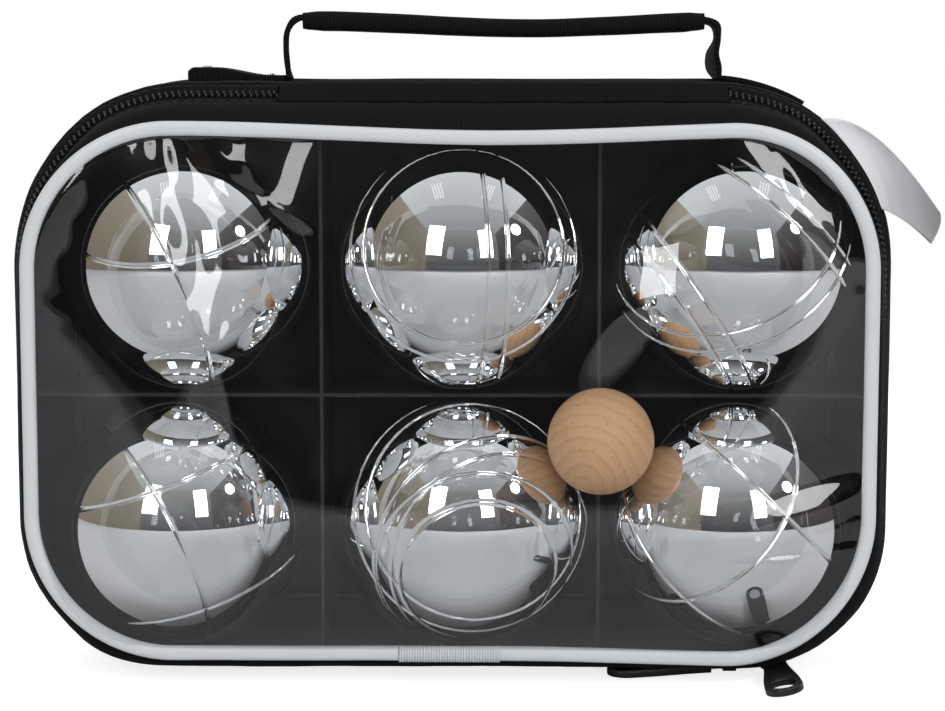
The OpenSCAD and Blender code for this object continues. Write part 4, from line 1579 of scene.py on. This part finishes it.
@dataclass
class Handle:
    """Webbing handle: sewn patches, risers, and a ribbed grip that sags a little in its middle."""

    finishes: Finishes
    strap_w: float = 25.0
    strap_t: float = 1.6
    strap_y: float = 9.0
    strap_z: float = 185.4
    grip_l: float = 114.0
    grip_w: float = 29.4
    grip_t: float = 5.3
    grip_x: float = 14.75
    grip_z: float = 184.35
    grip_sag: float = 2.1
    strap_x: Place = (-41.5, 71.0)
    strap_inset: float = 0.6
    riser_rows: int = 26
    left_path: tuple[Point, ...] = ((-46.9, 167.9, 3), (-47.6, 171.5, 5), (-48.0, 176.5, 5),
                                    (-47.6, 181.5, 5), (-45.0, 184.9, 2), (-41.0, 185.5, 0))
    right_path: tuple[Point, ...] = ((76.4, 167.9, -2), (75.4, 171.0, 3), (75.0, 175.0, 1),
                                     (76.3, 179.5, -3), (75.4, 183.5, -1), (70.5, 184.9, 0))
    patch_t: float = 1.8
    patch_low: float = 166.2
    patch_z: float = 168.9
    patch_rise: float = 2.3
    rise_x: float = -52.5
    rise_l: float = 17.0
    end_x: float = -75.4
    end_r: float = 2.4
    patch_x: Place = (-75.0, -47.6)
    stitched_x: Place = (-70.5, -52.0)
    stitched_half_w: float = 10.3
    stitch_pitch: float = 2.6
    stitch_size: Point = (1.6, 0.5, 0.22)
    corner: Place = (72.0, 112.5)
    corner_r: float = 55.7
    corner_degrees: Place = (84.1, 60.0)

    def strap(self, path: Sequence[Point], thick: float, width: float) -> Shape:
        """Return webbing swept along a path.

        Args:
            path: Rows of x, z and the twist in degrees.
            thick: The webbing's thickness.
            width: Its width.

        Returns:
            The swept shape, closed at both ends.
        """
        section = round_section(width, thick, min(thick * 0.42, 0.7))
        rows = []
        for i, (x, z, twist) in enumerate(path):
            a, b = path[max(i - 1, 0)], path[min(i + 1, len(path) - 1)]
            along = Vector((b[0] - a[0], 0, b[1] - a[1])).normalized()
            up = Matrix.Rotation(math.radians(twist), 3, along) @ Vector((-along.z, 0, along.x))
            side = up.cross(along)
            rows.append([tuple(Vector((x, self.strap_y, z)) + side * u + up * v) for u, v in section])
        return Shape.of(rows)

    def smooth_path(self, places: Sequence[Point]) -> list[Point]:
        """Return a smooth path through a few places."""
        at = [i / (self.riser_rows - 1) * (len(places) - 1) for i in range(self.riser_rows)]
        return [tuple(spline([p[k] for p in places], t) for k in range(3)) for t in at]

    def sag(self, x: float) -> float:
        """Return how far the grip hangs at a place along it."""
        return -self.grip_sag * ease(1 - abs(x - 22) / 62)

    def grip(self) -> Shape:
        """Return the ribbed grip sleeve.

        Returns:
            The sleeve, with its filler's swell.
        """
        rows = []
        for i in range(115):
            x = self.grip_x - self.grip_l / 2 + self.grip_l * i / 114
            end = min(i, 114 - i)
            slim = 0.86 + 0.14 * ease(end / 5)
            w, t = self.grip_w * slim, self.grip_t * slim * (1 - 0.08 * ease(1 - abs(x - 25) / 50))
            lump = 0.12 * drift(x, 0, 0, 16.0, 7.0)
            rows.append([(x, self.strap_y + u, self.grip_z + v + self.sag(x) + lump)
                         for u, v in round_section(w, t, t * 0.46, 6)])
        return Shape.of(rows)

    def patch_top(self, x: float) -> float:
        """Return the height of the left patch's upper face, which stands up in a soft roll at its end."""
        return self.patch_z + self.patch_rise * ease((self.rise_x - x) / self.rise_l)

    def folded_patch(self) -> Shape:
        """Return the left patch.

        Returns:
            The patch, with its folded end.
        """
        rows = []
        for i in range(31):
            x = mix(*self.patch_x, i / 30)
            end = math.sqrt(clamp(1 - (1 - clamp((x - self.end_x) / self.end_r)) ** 2))
            full = self.patch_top(x) - self.patch_low
            rows.append([(x, self.strap_y + u, self.patch_low + full / 2 + v)
                         for u, v in round_section(self.strap_w, full * max(end, 0.35), 0.7)])
        return Shape.of(rows)

    def right_patch(self) -> Shape:
        """Return the right patch.

        Returns:
            The patch, which lies round the case's corner.
        """
        arc = arc_places(*self.corner, self.corner_r, *self.corner_degrees, 28)
        path = [(x, z, 0.0) for x, z in arc]
        return self.strap(path, self.patch_t, self.strap_w)

    def patch_stitches(self) -> list[list[Point]]:
        """Return the lines of stitches on the left patch.

        Returns:
            The lines: a box with a cross in it.
        """
        (x0, x1), y0, y1 = (self.stitched_x, self.strap_y - self.stitched_half_w,
                            self.strap_y + self.stitched_half_w)
        ends = ((x0, y0, x1, y0), (x0, y1, x1, y1), (x0, y0, x0, y1), (x1, y0, x1, y1),
                (x0, y0, x1, y1), (x0, y1, x1, y0))
        return [[(mix(xa, xb, k / 12), mix(ya, yb, k / 12), self.patch_top(mix(xa, xb, k / 12)) - 0.2)
                 for k in range(13)] for xa, ya, xb, yb in ends]

    def build(self) -> None:
        """Make the handle's pieces."""
        made = self.finishes
        for side, places in (("left", self.left_path), ("right", self.right_path)):
            shape = self.strap(self.smooth_path(places), self.strap_t, self.strap_w)
            piece = shape.to_object(side + "_riser_webbing", made.webbing)
            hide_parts("handle_riser_" + side)
            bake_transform(piece)
        places = (mix(*self.strap_x, i / 40) for i in range(41))
        inside = [(x, self.strap_z + self.sag(x), 0.0) for x in places]
        strap = self.strap(inside, self.strap_t, self.strap_w - self.strap_inset)
        dress(strap.to_object("strap_webbing", made.webbing), Body.HANDLE, "webbing", "handle_strap")
        grip = dress(self.grip().to_object("ribbed_grip", made.grip), Body.HANDLE, "grip_cloth",
                     "handle_sleeve", "handle_filler")
        dress(self.folded_patch().to_object("left_patch_webbing", made.webbing), Body.CASE, "webbing",
              "handle_patch_left")
        dress(self.right_patch().to_object("right_patch_webbing", made.webbing), Body.CASE, "webbing",
              "handle_patch_right")
        stitches = beads("patch_stitching", self.patch_stitches(), self.stitch_pitch, self.stitch_size,
                         made.thread)
        dress(stitches, Body.CASE, "webbing")


@dataclass
class Label:
    """The bare satin label sewn in at the upper right corner."""

    finishes: Finishes
    width: float = 30.0
    length: float = 45.0
    thickness: float = 0.18
    root_degrees: float = 55.0
    root_out: float = 0.45
    upper_run: Point = (0.77, 0.05, -0.53)
    lower_run: Point = (0.42, 0.62, -0.26)
    upper_bow: Point = (-0.02, 0.0, 0.18)
    lower_bow: Point = (0.0, 0.08, 0.03)
    curl: float = 0.4

    def place(self, t: float, s: float) -> Point:
        """Return a place on the label.

        Args:
            t: Share of the way from the root to the free end.
            s: Share of the way from the upper to the lower edge.

        Returns:
            The place, in millimetres.
        """
        tape = FORM.tape()
        a = math.radians(self.root_degrees - s * math.degrees(self.width / tape.r_top))
        r = tape.r_top + self.root_out
        x, y, z = (tape.half_w - tape.r_top + r * math.cos(a), FORM.zip_y + FORM.tape_end + 0.3,
                   tape.top - tape.r_top + r * math.sin(a))
        out = FORM.lean(x, y, z) * (1 - t) ** 2
        root = (x + out * math.cos(a), y, z + out * math.sin(a))
        end = [mix(p, q, s) for p, q in zip(self.upper_run, self.lower_run)]
        bow = [mix(p, q, s) for p, q in zip(self.upper_bow, self.lower_bow)]
        curl = self.curl * drift(t * 40, s * 30, 0, 18.0, 2.0) * t
        return tuple(root[k] + self.length * (t * end[k] + 4 * t * (1 - t) * bow[k]) + curl * (k == 1)
                     for k in range(3))

    def build(self) -> None:
        """Make the label as a thin sheet."""
        rows = [[self.place(i / 40, j / 24) for j in range(25)] for i in range(41)]
        shape = Shape()
        shape.add_grid(rows)
        piece = shape.to_object("satin_label", self.finishes.satin, outwards=False)
        solid = piece.modifiers.new("thickness", "SOLIDIFY")
        solid.thickness = self.thickness * MM
        solid.offset = 0.0
        dress(piece, Body.CASE, "satin", "care_label")


def move_by(x: float, y: float, z: float) -> Matrix:
    """Return the move by a distance in millimetres."""
    return Matrix.Translation(Vector((x, y, z)) * MM)


def turn_about(axis: str, degrees: float) -> Matrix:
    """Return the turn about an axis."""
    return Matrix.Rotation(math.radians(degrees), 4, axis)


@dataclass
class PullTabs:
    """The two rubber pull tabs with their oval hole and their wire rings."""

    finishes: Finishes
    length: float = 34.0
    width: float = 10.5
    root_w: float = 6.0
    neck_l: float = 4.5
    thickness: float = 2.1
    hole_w: float = 6.5
    hole_l: float = 9.0
    rim: float = 2.0
    ring_r: float = 1.3
    wire_d: float = 0.9
    bevel: float = 0.45
    left_x: float = 77.625
    left_z: float = 1.55
    left_degrees: float = 192.0
    right_x: float = 81.75
    right_z: float = 45.31
    right_lean: float = -11.0
    right_tilt: float = 1.2
    right_run_r: float = 41.71
    slider_l: float = 9.5
    root_x: float = 1.75
    root_z: float = -2.05

    def outline(self) -> list[Place]:
        """Return the tab's outer edge.

        Returns:
            Places along the edge, with x along the tab.
        """
        end = self.length - self.width / 2
        arc = arc_places(end, 0.0, self.width / 2, -90, 90, 24)
        side = [(mix(end, self.neck_l, i / 12), mix(self.width, self.root_w, ease(i / 12)) / 2)
                for i in range(1, 13)]
        return arc + side + [(x, -y) for x, y in reversed(side)]

    def hole(self) -> list[Place]:
        """Return the edge of the oval hole.

        Returns:
            Places along the edge, with x along the tab.
        """
        r = self.hole_w / 2
        far, near = self.length - self.rim - r, self.length - self.rim - self.hole_l + r
        return arc_places(far, 0.0, r, -90, 90, 14) + arc_places(near, 0.0, r, 90, 270, 14)

    def tab(self, name: str, place: Matrix) -> bpy.types.Object:
        """Return one tab.

        Args:
            name: The piece's name.
            place: The move that puts it in its place.

        Returns:
            The tab, with rounded edges.
        """
        curve = bpy.data.curves.new(name, "CURVE")
        curve.dimensions, curve.fill_mode = "2D", "BOTH"
        for places, inset in ((self.outline(), -self.bevel), (self.hole(), self.bevel)):
            line = curve.splines.new("POLY")
            line.points.add(len(places) - 1)
            middle = (self.length - self.rim - self.hole_l / 2, 0.0)
            for point, (x, y) in zip(line.points, places):
                away = Vector((x - middle[0], y - middle[1])).normalized() * inset
                point.co = ((x + away.x) * MM, (y + away.y) * MM, 0, 1)
            line.use_cyclic_u = True
        curve.extrude = (self.thickness / 2 - self.bevel) * MM
        curve.bevel_depth = self.bevel * MM
        curve.bevel_resolution = 3
        holder = bpy.data.objects.new(name + "_curve", curve)
        bpy.context.scene.collection.objects.link(holder)
        graph = bpy.context.evaluated_depsgraph_get()
        mesh = bpy.data.meshes.new_from_object(holder.evaluated_get(graph), depsgraph=graph)
        bpy.data.objects.remove(holder)
        mesh.name = name
        work = bmesh.new()
        work.from_mesh(mesh)
        bmesh.ops.remove_doubles(work, verts=work.verts, dist=1e-6)
        bmesh.ops.recalc_face_normals(work, faces=work.faces)
        work.to_mesh(mesh)
        work.free()
        mesh.transform(place)
        mesh.materials.clear()
        mesh.materials.append(self.finishes.rubber.material())
        mesh.shade_smooth()
        mesh.set_sharp_from_angle(angle=math.radians(50))
        return place_mesh(mesh)

    def ring(self, name: str, place: Matrix) -> bpy.types.Object:
        """Return the wire ring and the neck that is moulded into the tab.

        Args:
            name: The piece's name.
            place: The move that puts it in its place.

        Returns:
            The ring with its neck.
        """
        middle = self.ring_r + self.wire_d / 2
        rows = [[((middle + self.wire_d / 2 * math.cos(b)) * math.cos(a),
                  (middle + self.wire_d / 2 * math.cos(b)) * math.sin(a), self.wire_d / 2 * math.sin(b))
                 for b in (2 * math.pi * k / 12 for k in range(12))]
                for a in (2 * math.pi * i / 32 for i in range(32))]
        shape = Shape.of(rows, closed=True)
        neck = [[(x, u, v) for u, v in round_section(3.0, self.wire_d, 0.3)]
                for x in (middle, middle + 1.0, self.neck_l + 0.6)]
        shape.add_grid(neck, around=True, capped=True)
        piece = shape.to_object(name, self.finishes.enamel)
        piece.data.transform(place)
        return piece

    def build(self) -> None:
        """Make both tabs where the solids lie."""
        left = move_by(self.left_x, FORM.zip_y, self.left_z) @ turn_about("Z", self.left_degrees)
        rise = (self.slider_l / 2) ** 2 / (4 * self.right_run_r)
        right = (move_by(self.right_x, FORM.zip_y, self.right_z) @ turn_about("Y", self.right_lean)
                 @ move_by(self.root_x, 0, rise - self.right_run_r + self.root_z)
                 @ turn_about("Z", -90) @ turn_about("Y", self.right_tilt))
        for side, body, place in (("left", Body.LEFT_PULL, left), ("right", Body.RIGHT_PULL, right)):
            dress(self.tab(side + "_rubber_tab", place), body, "pull_rubber", "pull_" + side)
            dress(self.ring(side + "_tab_ring", place), body, "slider_metal")


@dataclass
class BackAndInside:
    """The back cloth, and the finishes of the boards, dividers, sliders and fillings inside."""

    finishes: Finishes
    form: CaseForm = FORM
    seam_inset: float = 0.7
    rings: int = 30
    outer_t: float = 0.38
    inner_t: float = 0.35
    swell_h: float = 1.3
    swell_reach: float = 26.0
    slack_h: float = 0.25

    def back_cloth(self) -> Shape:
        """Return the back panel.

        Returns:
            The panel, a slightly swollen closed sheet.
        """
        outline = self.form.rim.grown(-self.seam_inset)
        edge = [(x, z) for x, z, _, _ in outline.ring()]
        return Shape.of(sheet_rows(edge, (outline.top + outline.bottom) / 2, self.rings, 1.0, self.skins))

    def skins(self, x: float, z: float, edge: float) -> Place:
        """Return the depths of the panel's outer and inner skin.

        Args:
            x, z: The place, in millimetres.
            edge: Its distance to the seam.

        Returns:
            Both depths.
        """
        swell = self.swell_h * ease(edge / self.swell_reach)
        slack = self.slack_h * drift(x, 0, z, 30.0, 3.0) * ease(edge / 10)
        return self.form.rim_y + self.outer_t + (swell + slack), self.form.rim_y - self.inner_t

    def build(self, nodes: dict[str, bpy.types.Object]) -> None:
        """Make the back cloth and give the solids that stay their finishes.

        Args:
            nodes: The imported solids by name.
        """
        made = self.finishes
        piece = self.back_cloth().to_object("back_cloth_panel", made.panel)
        for corner, loop in zip(piece.data.uv_layers["cloth"].data, piece.data.loops):
            place = piece.data.vertices[loop.vertex_index].co
            corner.uv = (place.x, place.z)
        dress(piece, Body.CASE, "case_cloth", "back_panel")
        kept = {"back_board": made.board, "base_board": made.board, "divider_left": made.divider,
                "divider_right": made.divider, "divider_cross": made.divider, "slider_left": made.enamel,
                "slider_right": made.enamel}
        for name, obj in nodes.items():
            finish = made.mortar if name.endswith("_core") else kept.get(name)
            if finish is not None:
                obj.data.materials.clear()
                obj.data.materials.append(finish.material())


# Studio


@dataclass
class Studio:
    """A pale floor, soft lamps, glowing grey walls that only reflections see and that paint the room's
    reflection, and the camera. Sizes are in metres.
    """

    camera_at: Point = CAMERA_AT
    focal_px: float = 2570.0
    frame_px: tuple[int, int] = (945, 711)
    axis_px: Place = (503.0, 69.5)
    sensor_mm: float = 36.0
    aim: Point = (0.0, 0.0, 0.08)
    floor_x: float = 3.0
    floor_y: Place = (-3.2, 0.7)
    room_x: float = 3.2
    room_y: Place = (-3.1, 0.6)
    room_h: float = 2.2
    side_wall_y: Place = (-3.1, 0.4)
    left_wall_x: float = -1.9
    right_wall_x: float = 2.1
    tubes_at: tuple[float, ...] = (-0.62, 0.70)
    tube_gap: float = 0.075
    tube_half_w: float = 0.02
    tube_y: Place = (-0.85, -0.2)
    tube_z: float = 2.05

    def camera(self) -> None:
        """Make the camera, turned so that the photograph's middle is its axis."""
        data = bpy.data.cameras.new("camera")
        data.sensor_width = self.sensor_mm
        data.lens = self.sensor_mm * self.focal_px / self.frame_px[0]
        obj = bpy.data.objects.new("camera", data)
        bpy.context.scene.collection.objects.link(obj)
        obj.location = self.camera_at
        down = math.atan((self.frame_px[1] / 2 - self.axis_px[1]) / self.focal_px)
        left = math.atan((self.axis_px[0] - self.frame_px[0] / 2) / self.focal_px)
        obj.rotation_euler = (math.pi / 2 - down, 0.0, left)
        data.clip_start = 0.02
        bpy.context.scene.camera = obj

    def world(self) -> None:
        """Give the background white to the eye and mirrors, and a plain level to all else."""
        world = bpy.data.worlds.new("studio")
        world.use_nodes = True
        bpy.context.scene.world = world
        w = Wiring(world.node_tree)
        ray = w.node("ShaderNodeLightPath").outputs
        seen = w.maths("MAXIMUM", w.maths("MAXIMUM", ray["Is Camera Ray"], ray["Is Glossy Ray"]),
                       ray["Is Transmission Ray"])
        w.fill(world.node_tree.nodes["Background"], {
            "Color": (1, 1, 1, 1), "Strength": w.plus(0.3, w.times(seen, 0.7))})

    def plain_mesh(self, name: str, corners: Sequence[Point]) -> bpy.types.Mesh:
        """Return the mesh of one flat face, in metres.

        Args:
            name: The mesh's name.
            corners: Its four corners.

        Returns:
            The mesh.
        """
        mesh = bpy.data.meshes.new(name)
        mesh.from_pydata(list(corners), [], [(0, 1, 2, 3)])
        return mesh

    def surface(self, name: str) -> tuple[Wiring, bpy.types.Node, bpy.types.Material]:
        """Return a new material for a plain studio surface.

        Args:
            name: The material's name.

        Returns:
            Its wiring, its Principled shader and the material.
        """
        mat = bpy.data.materials.new(name)
        mat.use_nodes = True
        return Wiring(mat.node_tree), mat.node_tree.nodes["Principled BSDF"], mat

    def floor(self) -> None:
        """Make the pale floor, which is white to the eye and keeps the shadow."""
        x, (y0, y1) = self.floor_x, self.floor_y
        mesh = self.plain_mesh("floor", [(-x, y0, 0), (x, y0, 0), (x, y1, 0), (-x, y1, 0)])
        w, shader, mat = self.surface("pale_floor")
        w.fill(shader, {"Base Color": (0.78, 0.78, 0.79, 1), "Roughness": 0.9, "Specular IOR Level": 0.0})
        eye = w.node("ShaderNodeLightPath").outputs["Is Camera Ray"]
        glow = w.fill(w.node("ShaderNodeEmission"), {"Strength": w.times(eye, 0.8)})
        both = w.fill(w.node("ShaderNodeAddShader"), {0: shader.outputs[0], 1: glow.outputs[0]})
        w.feed(w.tree.nodes["Material Output"].inputs["Surface"], both.outputs[0])
        mesh.materials.append(mat)
        obj = place_mesh(mesh)

    def card(self, name: str, corners: Sequence[Point], colour: Colour, far: Colour | None = None) -> None:
        """Make a glowing grey card that only mirrors see, a painted reflection of the room.

        Args:
            name: The card's name.
            corners: Its four corners, in metres.
            colour: Its brightness as seen in a mirror, at the first two corners.
            far: Its brightness at the last two corners, if that differs.
        """
        mesh = self.plain_mesh(name, corners)
        layer = mesh.uv_layers.new(name="card")
        layer.data.foreach_set("uv", [0, 0, 1, 0, 1, 1, 0, 1])
        w, _, mat = self.surface(name)
        up = w.split(w.node("ShaderNodeUVMap", uv_map="card").outputs[0])[1]
        # Painted reflection: the card glows, shading from its first edge's colour to its far one.
        glow = w.fill(w.node("ShaderNodeEmission"), {"Color": w.blend(up, rgba(colour), rgba(far or colour))})
        w.feed(w.tree.nodes["Material Output"].inputs["Surface"], glow.outputs[0])
        mesh.materials.append(mat)
        obj = place_mesh(mesh)
        obj.visible_camera = obj.visible_diffuse = obj.visible_transmission = obj.visible_shadow = False

    def lamp(self, name: str, place: Point, size: Place, power: float, round_lamp: bool = False,
             mirrored: bool = True) -> None:
        """Make a soft lamp that faces the case.

        Args:
            name: The lamp's name.
            place: Its middle, in metres.
            size: Its width and height, in metres.
            power: Its power in watts.
            round_lamp: Makes it round and not square.
            mirrored: Lets mirrors see it.
        """
        data = bpy.data.lights.new(name, "AREA")
        data.shape = "ELLIPSE" if round_lamp else "RECTANGLE"
        data.size, data.size_y = size
        data.energy = power
        obj = bpy.data.objects.new(name, data)
        bpy.context.scene.collection.objects.link(obj)
        obj.location = place
        obj.rotation_euler = (Vector(self.aim) - Vector(place)).to_track_quat("-Z", "Y").to_euler()
        obj.visible_camera = False
        obj.visible_glossy = mirrored

    def build(self) -> None:
        """Set the whole studio."""
        bpy.context.scene.view_settings.view_transform = "Standard"
        self.camera()
        self.world()
        self.floor()
        self.lamp("left_window_lamp", LEFT_LAMP_AT, (0.52, 0.95), 9.0)
        self.lamp("right_window_lamp", RIGHT_LAMP_AT, (0.42, 0.9), 8.0)
        self.lamp("round_lamp", (1.45, -0.95, 1.1), (0.3, 0.3), 5.0, True)
        self.lamp("top_lamp", (0.1, -0.3, 2.1), (1.2, 0.9), 7.0, mirrored=False)
        self.lamp("back_lamp", (-0.7, 1.7, 0.9), (0.9, 0.7), 6.0, mirrored=False)
        self.tubes()
        self.room()

    def tubes(self) -> None:
        """Make two groups of glowing tubes under the ceiling: painted reflections of ceiling lights, which
        light nothing.
        """
        y0, y1 = self.tube_y
        z = self.tube_z
        for k, middle in enumerate(self.tubes_at):
            for i in range(4):
                x = middle + self.tube_gap * (i - 1.5)
                x0, x1 = x - self.tube_half_w, x + self.tube_half_w
                self.card("tube_%d_%d" % (k, i), [(x0, y0, z), (x1, y0, z), (x1, y1, z), (x0, y1, z)],
                          (2.2, 2.3, 2.2))

    def room(self) -> None:
        """Make the far wall, the ceiling and the two side walls as glowing cards, each with painted shade
        that makes it darker at its first edge.
        """
        x, h, left, right = self.room_x, self.room_h, self.left_wall_x, self.right_wall_x
        (y0, y1), (s0, s1) = self.room_y, self.side_wall_y
        self.card("far_wall", [(-x, y0, 0.0), (x, y0, 0.0), (x, y0, h), (-x, y0, h)],
                  (0.07, 0.07, 0.075), (0.3, 0.3, 0.29))
        self.card("ceiling", [(-x, y0, h), (x, y0, h), (x, y1, h), (-x, y1, h)],
                  (0.34, 0.34, 0.34), (0.78, 0.8, 0.81))
        self.card("left_wall", [(left, s1, 0.0), (left, s0, 0.0), (left, s0, h), (left, s1, h)],
                  (0.2, 0.17, 0.12), (0.34, 0.3, 0.24))
        self.card("right_wall", [(right, s0, 0.0), (right, s1, 0.0), (right, s1, h), (right, s0, h)],
                  (0.03, 0.02, 0.02), (0.14, 0.13, 0.13))


# Whole


def main() -> None:
    """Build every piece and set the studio."""
    logging.basicConfig(level=logging.INFO, format="%(name)s %(message)s")
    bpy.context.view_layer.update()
    made = Finishes()
    BouleSet(made).build()
    PaddedWalls(made).build()
    Pipings(made).build()
    WindowFilm(made).build()
    ZipRun(made).build()
    Handle(made).build()
    Label(made).build()
    PullTabs(made).build()
    BackAndInside(made).build(frame["nodes"])
    Studio().build()
    for name in ("padded_front_wall", "white_piping_run", "woven_joint_sleeve", "lid_stitching"):
        bpy.data.objects[name].visible_glossy = False


if __name__ == "__main__":
    main()
